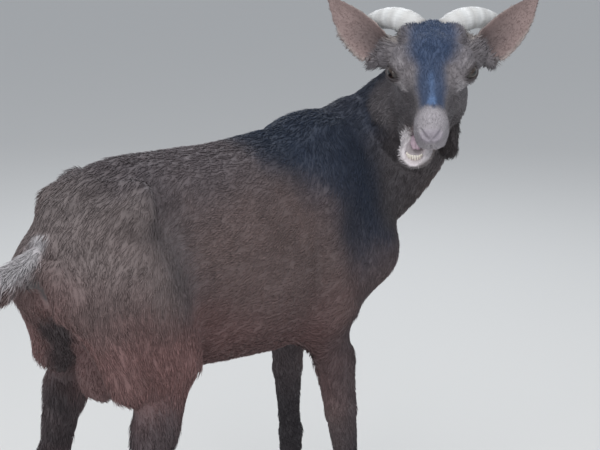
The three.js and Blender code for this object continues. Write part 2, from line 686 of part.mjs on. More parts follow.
// Ear: a broad cupped leaf, rolled into a tube at its root. The hollow faces forward.
function ear(side, grow = 0) {
  const root = headMirror(side, 24, 47, -28);
  const tip = headMirror(side, -40, 132, 25);
  const axis = tip.clone().sub(root).normalize();
  const faceWay = vec(headWay(0.85, 0.05 * side, 0.5));
  const hollow = faceWay.addScaledVector(axis, -faceWay.dot(axis)).normalize();
  const across = new THREE.Vector3().crossVectors(axis, hollow).multiplyScalar(side);
  const rows = 8;
  const half = 4;
  const rings = [];
  for (let r = 0; r <= rows; r += 1) {
    const t = r / rows;
    const bulge = Math.sin(Math.PI * clamp01(0.14 + 0.86 * t ** 0.85)) ** 0.7;
    const halfWidth = Math.max(20.5 * bulge, 3.2);
    const roll = mix(2.2, 0.7, smoothStep(0, 0.5, t));
    const radius = halfWidth / Math.sin(Math.min(roll, Math.PI / 2));
    const wrap = roll + (1.6 * grow) / radius;
    const thick = mix(5, 2.4, t);
    const sag = Math.sin(Math.PI * t) * 5;
    const centre = root.clone()
      .addScaledVector(axis, t * earLength + (2 * t - 1) * grow * 1.4)
      .addScaledVector(hollow, radius - 10 - sag);
    const place = (angle, r0) => centre.clone()
      .addScaledVector(across, Math.sin(angle) * r0 * (angle > 0 ? 1.7 : 0.85))
      .addScaledVector(hollow, -Math.cos(angle) * r0);
    const ring = [];
    for (let i = 0; i <= half; i += 1) ring.push(place(mix(-wrap, wrap, i / half), radius + grow * 1.3));
    for (let i = half; i >= 0; i -= 1) {
      ring.push(place(mix(-wrap, wrap, i / half) * 0.97, radius - thick - grow * 1.3));
    }
    rings.push(ring);
  }
  return loft(rings, true);
}

function eye(side, grow = 0) {
  const ball = new THREE.SphereGeometry(eyeRadius + grow, 10, 7);
  ball.rotateX(Math.PI / 2);
  ball.translate(80.5, 40.5 * side, -18);
  ball.applyMatrix4(headFrame);
  return solidFromGeometry(ball);
}

// Wattle: a soft hairy tassel that hangs from the throat.
function wattle(side, grow = 0) {
  const top = headMirror(side, 46, 24, -98);
  const drop = new THREE.Vector3(0, 0, -1);
  const path = new THREE.CatmullRomCurve3([
    top.clone().addScaledVector(drop, -14),
    top.clone().addScaledVector(drop, 10),
    top.clone().addScaledVector(drop, 34),
    top.clone().addScaledVector(drop, 56),
  ]);
  const size = (t) => {
    const radius = mix(6.5, 10.5, smoothStep(0.15, 0.72, t)) * (t > 0.9 ? 0.6 : 1);
    return [radius, radius * 0.9];
  };
  return loft(sweptRings(path, 5, 7, size, new THREE.Vector3(1, 0, 0), grow));
}

// Tongue: a low soft pad on the floor of the mouth, in the jaw's own frame.
function tongue(grow = 0) {
  const rings = [];
  const steps = 4;
  for (let s = 0; s <= steps; s += 1) {
    const t = s / steps;
    const wide = (t > 0.9 ? 4.5 : mix(10.5, 8.5, t)) + grow;
    const tall = (t > 0.9 ? 2 : 4) + grow;
    rings.push(Array.from({ length: 8 }, (_, i) => {
      const angle = (i / 8) * Math.PI * 2;
      return new THREE.Vector3(
        mix(112 - grow, 150 + grow, t), Math.cos(angle) * wide, mix(-66, -63.5, t) + Math.sin(angle) * tall,
      ).applyMatrix4(jawFrame).applyMatrix4(headFrame);
    }));
  }
  return loft(rings);
}

// Front teeth: one curved row of eight, their crowns marked by notches along the edge.
function lowerTeeth(grow = 0) {
  const count = 8;
  const fine = count * 2;
  const rings = [];
  for (let s = 0; s <= fine; s += 1) {
    const along = mix(-1, 1, s / fine);
    const angle = along * 1.12;
    const crown = Math.abs(Math.sin((s / fine) * Math.PI * count));
    const tall = mix(4.2, 6.6, Math.min(crown * 1.6, 1)) * mix(1, 0.82, Math.abs(along));
    const out = new THREE.Vector3(Math.cos(angle), Math.sin(angle), 0);
    const middle = new THREE.Vector3(152, 0, -64.5).addScaledVector(out, 9.8);
    const corner = (o, u) => middle.clone()
      .addScaledVector(out, o).add(new THREE.Vector3(0, 0, u))
      .applyMatrix4(jawFrame).applyMatrix4(headFrame);
    rings.push([
      corner(-1.7 - grow, -4 - grow), corner(1.7 + grow, -4 - grow),
      corner(2.1 + grow, tall + grow), corner(0.9 - grow, tall + grow),
    ]);
  }
  return loft(rings);
}

// ---------------------------------------------------------------- feet

const coronetAt = (x, footX) => coronetHeight + (x - footX) * coronetSlope;

// One claw: a flat pointed sole below a sloping coronet.
function claw(footX, y, which, hind) {
  const long = hind ? 29 : 31;
  const wide = hind ? 11.5 : 12.5;
  const around = 10;
  const outline = (angle, scale) => {
    const c = Math.cos(angle);
    const s = Math.sin(angle);
    const forward = c > 0 ? c ** 1.0 * long : c * long * 0.82;
    const across = s * wide * (c > 0 ? 1 - 0.28 * c : 1);
    return [forward * scale, across * scale];
  };
  const rings = [[0, 1], [0.45, 0.93], [0.96, 0.8]].map(([height, scale]) => (
    Array.from({ length: around }, (_, i) => {
      const angle = (i / around) * Math.PI * 2;
      const [dx, dy] = outline(angle, scale);
      const x = footX + 6 + dx - height * 5;
      const top = coronetAt(x, footX) - partingGap - ground;
      const across = y + which * (wide + 1.2) + dy - which * (1 - scale) * wide * 0.6;
      return new THREE.Vector3(x, across, ground + top * height / 0.96);
    })
  ));
  return loft(rings);
}

// Dewclaw: a blunt little cone behind the fetlock.
function dewclaw(footX, y, which, grow = 0) {
  const profile = [[0, -7 - grow], [5.6 + grow, -5 - grow], [4.6 + grow, 5.5], [0, 9 + grow]];
  const cone = new THREE.LatheGeometry(profile.map(([r, h]) => new THREE.Vector2(r, h)), 6);
  cone.rotateX(Math.PI / 2);
  cone.rotateY(rad(-128));
  cone.translate(footX - 14, y + which * 11, fetlockHeight - 13);
  return solidFromGeometry(cone);
}

// ---------------------------------------------------------------- assembling the named parts

const goat = new THREE.Group();

function add(name, solid, color, roughness = 0.9) {
  const material = new THREE.MeshStandardMaterial({ color, roughness, metalness: 0 });
  const mesh = new THREE.Mesh(geometryFrom(solid), material);
  mesh.name = name;
  goat.add(mesh);
}

const setIn = [];
for (const [name, side] of [['right', -1], ['left', 1]]) {
  add(`${name}_ear`, ear(side), '#7a6460');
  add(`${name}_horn`, horn(side), '#cfc8b8', 0.6);
  add(`${name}_eye`, eye(side), '#2a1c10', 0.12);
  add(`${name}_wattle`, wattle(side), '#2a2423');
  setIn.push(ear(side, partingGap), horn(side, partingGap), eye(side, partingGap), wattle(side, partingGap));
}
add('tongue', tongue(), '#b88a90', 0.4);
add('lower_teeth', lowerTeeth(), '#e6dfce', 0.35);
const inMouth = [tongue(partingGap), lowerTeeth(partingGap)];

const headBox = new THREE.Box3();
for (const x of [-50, 210]) {
  for (const y of [-80, 80]) {
    for (const z of [-140, 45]) headBox.expandByPoint(vec(headPoint(x, y, z)));
  }
}
const headRange = [headBox.min.toArray(), headBox.max.toArray()];

add('head', fleshSolid({
  box: headRange,
  cell: facet.head,
  planes: [cuts.neckFromHead],
  field: headAndNeck,
  without: [[jawCut, lipLine]],
  inserts: [...setIn, ...inMouth],
}), coats.head);
add('lower_jaw', fleshSolid({
  box: headRange,
  cell: facet.jaw,
  planes: [jawCut, lipLine, cuts.neckFromHead],
  field: headAndNeck,
  inserts: inMouth,
}), coats.jaw);
add('neck', fleshSolid({
  box: [[60, -240, 400], [380, 130, 900]],
  cell: facet.neck,
  planes: [flipped(cuts.trunkFromNeck), flipped(cuts.neckFromHead)],
  inserts: setIn,
}), coats.neck);

const scrotum = (grow) => fleshSolid({
  box: [[-270, -60, 400], [-130, 60, 560]],
  cell: facet.scrotum,
  planes: [flipped(level(506 + grow))],
  field: (x, y, z) => distanceTo(scrotumFlesh, x, y, z) - grow,
});
add('scrotum', scrotum(0), coats.scrotum);

add('trunk', fleshSolid({
  box: [[-400, -180, 340], [380, 180, 790]],
  cell: facet.trunk,
  planes: [cuts.trunkFromNeck, cuts.trunkFromTail],
  without: [hindRegion, ...Object.values(stance).map(foreRegion)],
}), coats.trunk);
add('tail', fleshSolid({
  box: [[-440, -60, 510], [-270, 60, 690]],
  cell: facet.tail,
  planes: [flipped(cuts.trunkFromTail)],
  field: (x, y, z) => distanceTo(tailFlesh, x, y, z),
}), coats.tail);

for (const [name, leg] of Object.entries(stance)) {
  const { side } = leg;
  const [inner, outer] = [4 * side, 160 * side].sort((a, b) => a - b);
  const ownSide = plane([0, 0, 0], [0, side, 0]);
  const span = (x, bottom, top) => [[x - 115, inner, bottom - 60], [x + 115, outer, top + 60]];
  const coronet = (x) => plane([x + 8, 0, coronetHeight], [-coronetSlope, 0, 1]);
  const kneeCut = level(kneeHeight + 24);
  const hockCut = level(hockHeight + 34);
  const fetlockCut = level(fetlockHeight + 14);
  const hoofs = [['fore', leg.forefoot, legSpread * side], ['hind', leg.hindfoot, (legSpread + 4) * side]];
  const dewclaws = hoofs.map(([, x, y]) => [dewclaw(x, y, -side, partingGap), dewclaw(x, y, side, partingGap)]);

  add(`${name}_forearm`, fleshSolid({
    box: span(leg.elbow + 20, kneeCut.at.z, elbowCut.at.z),
    cell: facet.forearm,
    planes: [kneeCut, ...foreRegion(leg)],
  }), coats.leg);
  add(`${name}_fore_cannon`, fleshSolid({
    box: span(leg.knee, fetlockCut.at.z, kneeCut.at.z),
    cell: facet.cannon,
    planes: [flipped(kneeCut), fetlockCut],
  }), coats.leg);
  add(`${name}_fore_pastern`, fleshSolid({
    box: span(leg.forefoot, ground + 20, fetlockCut.at.z),
    cell: facet.pastern,
    planes: [flipped(fetlockCut), coronet(leg.forefoot)],
    inserts: dewclaws[0],
  }), coats.leg);
  add(`${name}_thigh`, fleshSolid({
    box: [[-380, Math.min(side * 170, 0) - 30, 380], [-60, Math.max(side * 170, 0) + 30, 700]],
    cell: facet.thigh,
    planes: [...hindRegion, beyond(-302), ownSide, stifleCut],
    inserts: [scrotum(partingGap)],
  }), coats.thigh);
  add(`${name}_gaskin`, fleshSolid({
    box: span(leg.stifle - 40, hockCut.at.z, stifleCut.at.z),
    cell: facet.gaskin,
    planes: [...hindRegion, flipped(beyond(-128)), ownSide, flipped(stifleCut), hockCut],
    inserts: [scrotum(partingGap)],
  }), coats.thigh);
  add(`${name}_hind_cannon`, fleshSolid({
    box: span(leg.hock, fetlockCut.at.z, hockCut.at.z),
    cell: facet.hock,
    planes: [flipped(hockCut), fetlockCut],
  }), coats.leg);
  add(`${name}_hind_pastern`, fleshSolid({
    box: span(leg.hindfoot, ground + 20, fetlockCut.at.z),
    cell: facet.pastern,
    planes: [flipped(fetlockCut), coronet(leg.hindfoot)],
    inserts: dewclaws[1],
  }), coats.leg);
  for (const [foot, x, y] of hoofs) {
    for (const [place, which] of [['inner', -side], ['outer', side]]) {
      add(`${name}_${foot}_claw_${place}`, claw(x + 8, y, which, foot === 'hind'), '#1f1c1b', 0.5);
      add(`${name}_${foot}_dewclaw_${place}`, dewclaw(x, y, which), '#1f1c1b', 0.5);
    }
  }
}

// The origin is put at the bottom middle of the animal's own box.
const whole = new THREE.Box3().setFromObject(goat);
const middle = whole.getCenter(new THREE.Vector3());
goat.position.set(-middle.x, -middle.y, -whole.min.z);

export default goat;
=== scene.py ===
import math
import time

import bmesh
import bpy
import numpy as np
from mathutils import Matrix, Vector


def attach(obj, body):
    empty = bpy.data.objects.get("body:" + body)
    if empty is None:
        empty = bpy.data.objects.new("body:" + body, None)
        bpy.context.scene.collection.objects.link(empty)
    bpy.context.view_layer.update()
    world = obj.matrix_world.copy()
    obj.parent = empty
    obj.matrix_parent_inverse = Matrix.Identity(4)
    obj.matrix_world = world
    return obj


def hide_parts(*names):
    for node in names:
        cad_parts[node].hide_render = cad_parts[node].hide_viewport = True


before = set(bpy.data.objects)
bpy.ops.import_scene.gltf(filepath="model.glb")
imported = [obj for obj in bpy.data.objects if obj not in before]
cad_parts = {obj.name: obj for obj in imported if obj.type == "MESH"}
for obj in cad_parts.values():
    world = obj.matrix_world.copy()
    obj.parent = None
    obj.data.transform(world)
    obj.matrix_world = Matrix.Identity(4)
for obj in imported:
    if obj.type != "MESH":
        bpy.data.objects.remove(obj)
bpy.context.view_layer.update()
startTime = time.time()
rng = np.random.default_rng(41)


def tell(stage):
    print(f"[goat] {stage}, {time.time() - startTime:.0f} s")


# Shapes are worked out in millimetres in the animal's own frame, whose mid plane is y = 0.
ownFrame = {"shift": np.array([34.438, 67.178, -40.0])}


def toMetres(p):
    return (np.asarray(p, float) + ownFrame["shift"]) / 1000


def toOwn(p):
    return np.asarray(p, float) * 1000 - ownFrame["shift"]


# Camera, floor and light.

studio = {
    "eye": (-1.00756, -0.85582, 0.945),
    "pitchDown": 15.4,
    "yaw": 52.3,
    "lens": 72,
    "sky": (0.80, 0.84, 0.90, 1),
    "skyStrength": 0.62,
    "floorSize": 45.0,
    "floorColour": (0.68, 0.68, 0.67),
    # Name, power, place, aim, size and colour.
    "lights": [
        ("overhead", 34, (-0.5, -0.3, 2.6), (-0.05, 0, 0.5), 2.2, (1.0, 0.98, 0.95)),
        ("front_fill", 20, (-1.9, -1.9, 1.7), (0, 0, 0.5), 2.0, (1.0, 0.98, 0.96)),
        ("rear_fill", 15, (-2.3, -0.7, 1.1), (-0.25, -0.1, 0.5), 1.4, (1.0, 0.97, 0.95)),
        ("rim", 14, (1.7, 1.2, 1.9), (0, 0, 0.6), 1.2, (0.92, 0.96, 1.0)),
    ],
}


def addLight(name, power, place, aim, size, colour):
    data = bpy.data.lights.new(name, "AREA")
    data.energy = power
    data.color = colour
    data.size = size
    lamp = bpy.data.objects.new(name, data)
    bpy.context.scene.collection.objects.link(lamp)
    lamp.location = place
    lamp.rotation_euler = (Vector(aim) - Vector(place)).to_track_quat("-Z", "Y").to_euler()


def makeStudio():
    scene = bpy.context.scene
    data = bpy.data.cameras.new("camera")
    data.lens = studio["lens"]
    data.sensor_width = 36
    data.clip_end = 60
    camera = bpy.data.objects.new("camera", data)
    scene.collection.objects.link(camera)
    camera.location = studio["eye"]
    camera.rotation_euler = (math.radians(90 - studio["pitchDown"]), 0, math.radians(-studio["yaw"]))
    scene.camera = camera
    world = bpy.data.worlds.new("studio")
    world.use_nodes = True
    sky = world.node_tree.nodes["Background"].inputs
    sky["Color"].default_value = studio["sky"]
    sky["Strength"].default_value = studio["skyStrength"]
    scene.world = world
    scene.view_settings.view_transform = "Standard"
    for light in studio["lights"]:
        addLight(*light)
    bm = bmesh.new()
    bmesh.ops.create_grid(bm, x_segments=1, y_segments=1, size=studio["floorSize"])
    floor = objectFrom(bm, "studio_floor")
    floor.data.materials.append(plainMaterial("paleFloor", studio["floorColour"], 0.85))


# Shader maths.

class Wire:
    def __init__(self, tree, socket):
        self.tree, self.socket = tree, socket

    def maths(self, operation, other=0.0, swap=False):
        first, second = (other, self) if swap else (self, other)
        return self.tree.node("ShaderNodeMath", {"operation": operation}, {0: first, 1: second})[0]

    def __add__(self, other):
        return self.maths("ADD", other)

    def __radd__(self, other):
        return self.maths("ADD", other, True)

    def __sub__(self, other):
        return self.maths("SUBTRACT", other)

    def __rsub__(self, other):
        return self.maths("SUBTRACT", other, True)

    def __mul__(self, other):
        return self.maths("MULTIPLY", other)

    def __rmul__(self, other):
        return self.maths("MULTIPLY", other, True)

    def __truediv__(self, other):
        return self.maths("DIVIDE", other)

    def __rtruediv__(self, other):
        return self.maths("DIVIDE", other, True)

    def __pow__(self, other):
        return self.maths("POWER", other)


class Shader:
    def __init__(self, name):
        self.material = bpy.data.materials.new(name)
        self.material.use_nodes = True
        self.tree = self.material.node_tree
        self.surface = self.tree.nodes["Principled BSDF"]

    def node(self, kind, settings=None, values=None):
        made = self.tree.nodes.new(kind)
        for key, value in (settings or {}).items():
            setattr(made, key, value)
        for key, value in (values or {}).items():
            self.put(made.inputs[key], value)
        return [Wire(self, s) for s in made.outputs]

    def put(self, socket, value):
        if isinstance(value, Wire):
            self.tree.links.new(value.socket, socket)
        else:
            socket.default_value = value

    def feed(self, **values):
        for key, value in values.items():
            self.put(self.surface.inputs[key.replace("_", " ")], value)

    def blend(self, factor, a, b):
        return self.node("ShaderNodeMix", {"data_type": "RGBA"}, {0: factor, 6: a, 7: b})[2]

    def noise(self, where, scale, detail=3.0, rough=0.55):
        return self.node("ShaderNodeTexNoise", None,
                         {"Vector": where, "Scale": scale, "Detail": detail, "Roughness": rough})[0]

    def attribute(self, name, kind="Color"):
        outputs = {"Color": 0, "Vector": 1, "Fac": 2}
        return self.node("ShaderNodeAttribute", {"attribute_name": name})[outputs[kind]]

    def parts(self, vector):
        return self.node("ShaderNodeSeparateXYZ", None, {0: vector})

    def vector(self, x, y, z):
        return self.node("ShaderNodeCombineXYZ", None, {0: x, 1: y, 2: z})[0]

    def mapped(self, value, low, high, **settings):
        return self.node("ShaderNodeMapRange", settings,
                         {"Value": value, "From Min": low, "From Max": high})[0]

    def bump(self, height, strength, distance):
        return self.node("ShaderNodeBump", None,
                         {"Height": height, "Strength": strength, "Distance": distance})[0]

    def place(self):
        return self.node("ShaderNodeTexCoord")[3]


def linear(rgb):
    c = np.asarray(rgb, float) / 255
    return np.where(c <= 0.04045, c / 12.92, ((c + 0.055) / 1.055) ** 2.4)


def tint(r, g, b):
    return (*linear((r, g, b)), 1.0)


def plainMaterial(name, colour, roughness):
    shader = Shader(name)
    shader.feed(Base_Color=(*colour, 1), Roughness=roughness)
    return shader.material


# Mesh helpers.

def objectFrom(source, name):
    if isinstance(source, bmesh.types.BMesh):
        mesh = bpy.data.meshes.new(name)
        source.to_mesh(mesh)
        source.free()
    else:
        mesh = source
        mesh.name = name
    made = bpy.data.objects.new(name, mesh)
    bpy.context.scene.collection.objects.link(made)
    return made


def coordinates(mesh):
    co = np.empty(len(mesh.vertices) * 3, np.float32)
    mesh.vertices.foreach_get("co", co)
    return co.reshape(-1, 3).astype(float)


def setCoordinates(mesh, co):
    mesh.vertices.foreach_set("co", np.asarray(co, np.float32).ravel())
    mesh.update()


def vertexNormals(mesh):
    n = np.empty(len(mesh.vertices) * 3, np.float32)
    mesh.vertex_normals.foreach_get("vector", n)
    return n.reshape(-1, 3).astype(float)


def meshEdges(mesh):
    e = np.empty(len(mesh.edges) * 2, np.int32)
    mesh.edges.foreach_get("vertices", e)
    return e.reshape(-1, 2)


def relax(co, edges, steps, amount, weight=None):
    count = len(co)
    a, b = edges[:, 0], edges[:, 1]
    degree = np.maximum(np.bincount(a, minlength=count) + np.bincount(b, minlength=count), 1)
    for _ in range(steps):
        mean = np.stack([
            np.bincount(a, co[b, k], count) + np.bincount(b, co[a, k], count) for k in range(3)
        ], 1) / degree[:, None]
        step = (mean - co) * amount
        co = co + (step if weight is None else step * weight[:, None])
    return co


def shadeSmooth(made):
    made.data.polygons.foreach_set("use_smooth", np.ones(len(made.data.polygons), bool))


def addColour(mesh, name, rgb):
    layer = mesh.attributes.new(name, "FLOAT_COLOR", "POINT")
    layer.data.foreach_set("color", np.c_[rgb, np.ones(len(rgb))].astype(np.float32).ravel())


def addVector(mesh, name, values):
    mesh.attributes.new(name, "FLOAT_VECTOR", "POINT").data.foreach_set(
        "vector", np.asarray(values, np.float32).ravel())


def addNumber(mesh, name, values):
    mesh.attributes.new(name, "FLOAT", "POINT").data.foreach_set("value", np.asarray(values, np.float32))


def applied(made, **settings):
    # Applies one modifier, named by its type and settings, and returns the new mesh.
    modifier = made.modifiers.new("step", settings.pop("type"))
    for key, value in settings.items():
        setattr(modifier, key, value)
    bpy.context.view_layer.update()
    graph = bpy.context.evaluated_depsgraph_get()
    mesh = bpy.data.meshes.new_from_object(made.evaluated_get(graph))
    made.modifiers.remove(modifier)
    return mesh


def mergedCopy(node, grow=0.0):
    bm = bmesh.new()
    bm.from_mesh(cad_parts[node].data)
    bmesh.ops.remove_doubles(bm, verts=bm.verts, dist=1e-6)
    bm.normal_update()
    if grow:
        for v in bm.verts:
            v.co += v.normal * grow
    return bm


def addPart(joined, part):
    # Adds one mesh under construction to another and frees it.
    loose = bpy.data.meshes.new("part")
    part.to_mesh(loose)
    part.free()
    joined.from_mesh(loose)


def turnOut(mesh):
    bm = bmesh.new()
    bm.from_mesh(mesh)
    bmesh.ops.recalc_face_normals(bm, faces=bm.faces)
    bm.to_mesh(mesh)
    bm.free()


def smoothStep(start, end, value):
    t = np.clip((value - start) / (end - start), 0, 1)
    return t * t * (3 - 2 * t)


def latticeNoise(p, cell, seed=0):
    # Smooth noise from 0 to 1, one random value to each corner of a cubic lattice.
    q = p / cell
    base = np.floor(q).astype(np.int64)
    f = q - base
    f = f * f * (3 - 2 * f)
    total = np.zeros(len(p))
    for corner in range(8):
        step = np.array([corner & 1, (corner >> 1) & 1, corner >> 2])
        i = base + step
        key = (i[:, 0] * 73856093) ^ (i[:, 1] * 19349663) ^ (i[:, 2] * 83492791) ^ (seed * 2654435761)
        key = (key * 1103515245 + 12345) & 0x7FFFFFFF
        key = ((key >> 13) ^ key) * 60493 & 0x7FFFFFFF
        weight = np.prod(np.where(step == 1, f, 1 - f), axis=1)
        total += weight * (key / 0x7FFFFFFF)
    return total


# The flesh, as distances in the animal's own frame.

def joinSoft(a, b, blend):
    h = np.maximum(blend - np.abs(a - b), 0) / blend
    return np.minimum(a, b) - h * h * blend * 0.25


def cutSoft(a, b, blend):
    return -joinSoft(-a, b, blend)


def limb(start, end, startRadius, endRadius, blend=20, squash=1.0):
    a = np.array(start, float)
    scale = np.array([1, 1 / squash, 1])
    run = (np.array(end, float) - a) * scale

    def distance(p):
        q = (p - a) * scale
        t = np.clip(q @ run / (run @ run), 0, 1)
        return np.linalg.norm(q - t[:, None] * run, axis=1) - startRadius - (endRadius - startRadius) * t
    return distance, blend


def mass(centre, half, blend=20, tilt=0.0):
    c, s = math.cos(math.radians(tilt)), math.sin(math.radians(tilt))
    half = np.array(half, float)

    def distance(p):
        d = p - np.array(centre, float)
        q = np.stack([d[:, 0] * c - d[:, 2] * s, d[:, 1], d[:, 0] * s + d[:, 2] * c], 1) / half
        near = np.linalg.norm(q, axis=1)
        return near * (near - 1) / np.maximum(np.linalg.norm(q / half, axis=1), 1e-6)
    return distance, blend


def distanceTo(pieces, p):
    result = np.full(len(p), 1e4)
    for distance, blend in pieces:
        result = joinSoft(result, distance(p), blend)
    return result


def onlyNear(distance, p, near):
    result = np.full(len(p), 900.0)
    if near.any():
        result[near] = distance(p[near])
    return result


trunk = {
    # x, top, bottom, half width, height of the widest level, how roof-like the back is
    "stations": np.array([
        (-254, 690, 560, 38, 616, 1.6), (-222, 707, 508, 60, 606, 1.6), (-180, 715, 470, 78, 600, 1.62),
        (-100, 710, 450, 93, 570, 1.85), (-10, 705, 436, 103, 545, 1.9), (80, 707, 424, 97, 540, 1.7),
        (160, 708, 438, 80, 545, 1.55), (225, 688, 480, 60, 565, 1.8),
    ], float),
    "rumpRounding": 27, "breastRounding": 30,
}


def alongStations(rows, place):
    last = len(rows) - 1
    i = np.clip(np.searchsorted(rows[:, 0], place, side="left") - 1, 0, last - 1)
    a, b, c, d = rows[np.maximum(i - 1, 0)], rows[i], rows[i + 1], rows[np.minimum(i + 2, last)]
    span = c[:, :1] - b[:, :1]
    t = np.clip((place[:, None] - b[:, :1]) / span, 0, 1)
    slopeB = (c - a) / np.maximum(c[:, :1] - a[:, :1], 1e-6) * span
    slopeB = np.where((i == 0)[:, None], c - b, slopeB)
    slopeC = (d - b) / np.maximum(d[:, :1] - b[:, :1], 1e-6) * span
    slopeC = np.where((i == last - 1)[:, None], c - b, slopeC)
    return (b * (2 * t**3 - 3 * t**2 + 1) + slopeB * (t**3 - 2 * t**2 + t)
            + c * (3 * t**2 - 2 * t**3) + slopeC * (t**3 - t**2))


def trunkDistance(p):
    rows = trunk["stations"]
    x, y, z = p.T
    place = np.clip(x, rows[0, 0], rows[-1, 0])
    past = np.where(x < rows[0, 0], (rows[0, 0] - x) / trunk["rumpRounding"],
                    (x - rows[-1, 0]) / trunk["breastRounding"])
    closing = np.where(past <= 0, 1, np.sqrt(np.maximum(1 - np.maximum(past, 0)**2, 0.0004)))
    _, top, bottom, half, widest, roof = alongStations(rows, place).T
    above = z > widest
    half = half * closing
    tall = np.abs(np.where(above, top, bottom) - widest) * closing
    power = np.where(above, roof, 2.15)
    flat = ((np.abs(y) / half)**power + (np.abs(z - widest) / tall)**power)**(1 / power) - 1
    beyond = np.maximum(past - 1, 0) * trunk["rumpRounding"]
    return np.maximum(flat * np.minimum(half, tall) * 0.9, np.where(beyond > 0, beyond, -1e6))


neck = {
    "at": np.array([(192, -2, 598), (250, -26, 617), (269, -67, 677), (244, -102, 717),
                    (238, -138, 756)], float),
    "nape": np.array([(-0.66, 0, 0.75), (-0.68, 0.1, 0.72), (-0.45, 0.35, 0.8), (-0.1, 0.42, 0.88),
                      (0.35, 0.36, 0.85)]),
    "deep": np.array([100, 96, 80, 61, 52.0]), "wide": np.array([60, 57, 50, 43, 40.0]),
    "steps": 28,
}


def spotOn(count, t):
    # Which stretch between that many points t falls in, and how far along the stretch.
    spot = min(max(t, 0), 1) * (count - 1)
    k = min(int(spot), count - 2)
    return k, spot - k


def curvePoint(points, t):
    # Centripetal Catmull-Rom, as the solids are drawn.
    k, w = spotOn(len(points), t)
    p1, p2 = points[k], points[k + 1]
    p0 = points[k - 1] if k > 0 else 2 * points[0] - points[1]
    p3 = points[k + 2] if k + 2 < len(points) else 2 * points[-1] - points[-2]
    d0, d1, d2 = (np.linalg.norm(b - a)**0.5 for a, b in ((p0, p1), (p1, p2), (p2, p3)))
    m1 = ((p1 - p0) / d0 - (p2 - p0) / (d0 + d1) + (p2 - p1) / d1) * d1
    m2 = ((p2 - p1) / d1 - (p3 - p1) / (d1 + d2) + (p3 - p2) / d2) * d1
    return p1 + m1 * w + (-3 * p1 + 3 * p2 - 2 * m1 - m2) * w**2 + (2 * p1 - 2 * p2 + m1 + m2) * w**3


def unit(v):
    v = np.asarray(v, float)
    return v / np.maximum(np.linalg.norm(v, axis=-1, keepdims=True), 1e-9)


def neckRows():
    rows = []
    for i in range(neck["steps"] + 1):
        t = i / neck["steps"]
        k, w = spotOn(len(neck["at"]), t)
        at = curvePoint(neck["at"], t)
        run = unit(curvePoint(neck["at"], t + 1e-4) - curvePoint(neck["at"], t - 1e-4))
        nape = neck["nape"][k] * (1 - w) + neck["nape"][k + 1] * w
        nape = unit(nape - run * (nape @ run))
        deep, wide = (neck[key][k] * (1 - w) + neck[key][k + 1] * w for key in ("deep", "wide"))
        rows.append((at, np.stack([np.cross(run, nape) / wide, nape / deep, run / wide], 1), wide))
    return rows


neckSections = neckRows()


def neckDistance(p):
    best = np.full(len(p), 1e4)
    for at, axes, wide in neckSections:
        best = np.minimum(best, (np.linalg.norm((p - at) @ axes, axis=1) - 1) * wide)
    return best


stance = {
    "right": dict(side=-1, elbow=110, knee=161, forefoot=164,
                  pin=-284, stifle=-170, hock=-258, hindfoot=-244),
    "left": dict(side=1, elbow=188, knee=228, forefoot=226,
                 pin=-264, stifle=-152, hock=-242, hindfoot=-236),
}
levels = {"elbow": 462, "hock": 274, "knee": 214, "fetlock": 108, "pastern": 75, "coronet": 57}
spread = {"fore": 76, "hind": 80}   # distance of the feet from the mid plane


def shoulderFlesh(side, elbow, **_):
    shoulder = 222 + 16 * (elbow - 110) / 78
    top = levels["elbow"]
    return [
        limb((160, 34 * side, 667), (shoulder, 50 * side, 534), 22, 42, 44),
        limb((shoulder, 51 * side, 526), (elbow + 12, 60 * side, top + 12), 41, 35, 40),
        limb((120, 48 * side, 612), (elbow + 6, 58 * side, 494), 28, 33, 50),
    ]


def footFlesh(x, y, low, toe):
    # Fetlock and pastern; low and toe say how far ahead their lower ends stand.
    fet, pastern, coronet = (levels[key] for key in ("fetlock", "pastern", "coronet"))
    return [limb((x - 1, y, fet + 4), (x, y, fet - 8), 16, 15.5, 5, 1.08),
            limb((x, y, fet - 8), (x + low, y, pastern), 15, 16, 5, 1.15),
            limb((x + low, y, pastern), (x + toe, y, coronet), 16, 17, 5, 1.2)]


def forelegFlesh(side, elbow, knee, forefoot, **_):
    y, top, kneeZ, fet = spread["fore"] * side, levels["elbow"], levels["knee"], levels["fetlock"]

    def armX(h):
        return elbow + 18 + (knee - elbow - 18) * (top - h) / (top - kneeZ)

    def boneX(h):
        return forefoot + (knee - forefoot) * (h - fet) / (kneeZ - fet)

    return [
        limb((elbow + 3, 64 * side, top + 2), (armX(404) + 2, 68 * side, 404), 32, 30, 26, 0.86),
        limb((armX(404) + 2, 68 * side, 404), (armX(334), 73 * side, 334), 31, 24.5, 6, 0.86),
        limb((armX(334), 73 * side, 334), (armX(256), y, 256), 24.5, 16.5, 5, 0.88),
        limb((armX(256), y, 256), (knee, y, kneeZ + 14), 16.5, 18, 5, 0.95),
        limb((knee, y, kneeZ + 14), (knee, y, kneeZ - 12), 18, 16.5, 5, 1.05),
        limb((knee, y, kneeZ - 12), (knee - 2, y, 186), 16.5, 13, 5, 0.95),
        limb((knee - 2, y, 186), (boneX(146) - 2, y, 146), 13, 12, 5, 0.9),
        limb((boneX(146) - 2, y, 146), (forefoot - 1, y, fet + 4), 12, 16, 5, 1),
    ] + footFlesh(forefoot, y, 15, 24)


def hipFlesh(side, pin, stifle, **_):
    return [
        limb((-184, 50 * side, 684), (-202, 56 * side, 664), 13, 23, 18),
        limb((pin, 27 * side, 616), (pin + 10, 38 * side, 588), 16, 26, 24),
        mass((-202, 46 * side, 586), (58, 39, 77), 36, -16),
        limb((-205, 56 * side, 584), (stifle, 66 * side, 508), 44, 37, 30),
        limb((pin + 30, 42 * side, 584), (pin + 56, 68 * side, 492), 26, 27, 28),
    ]


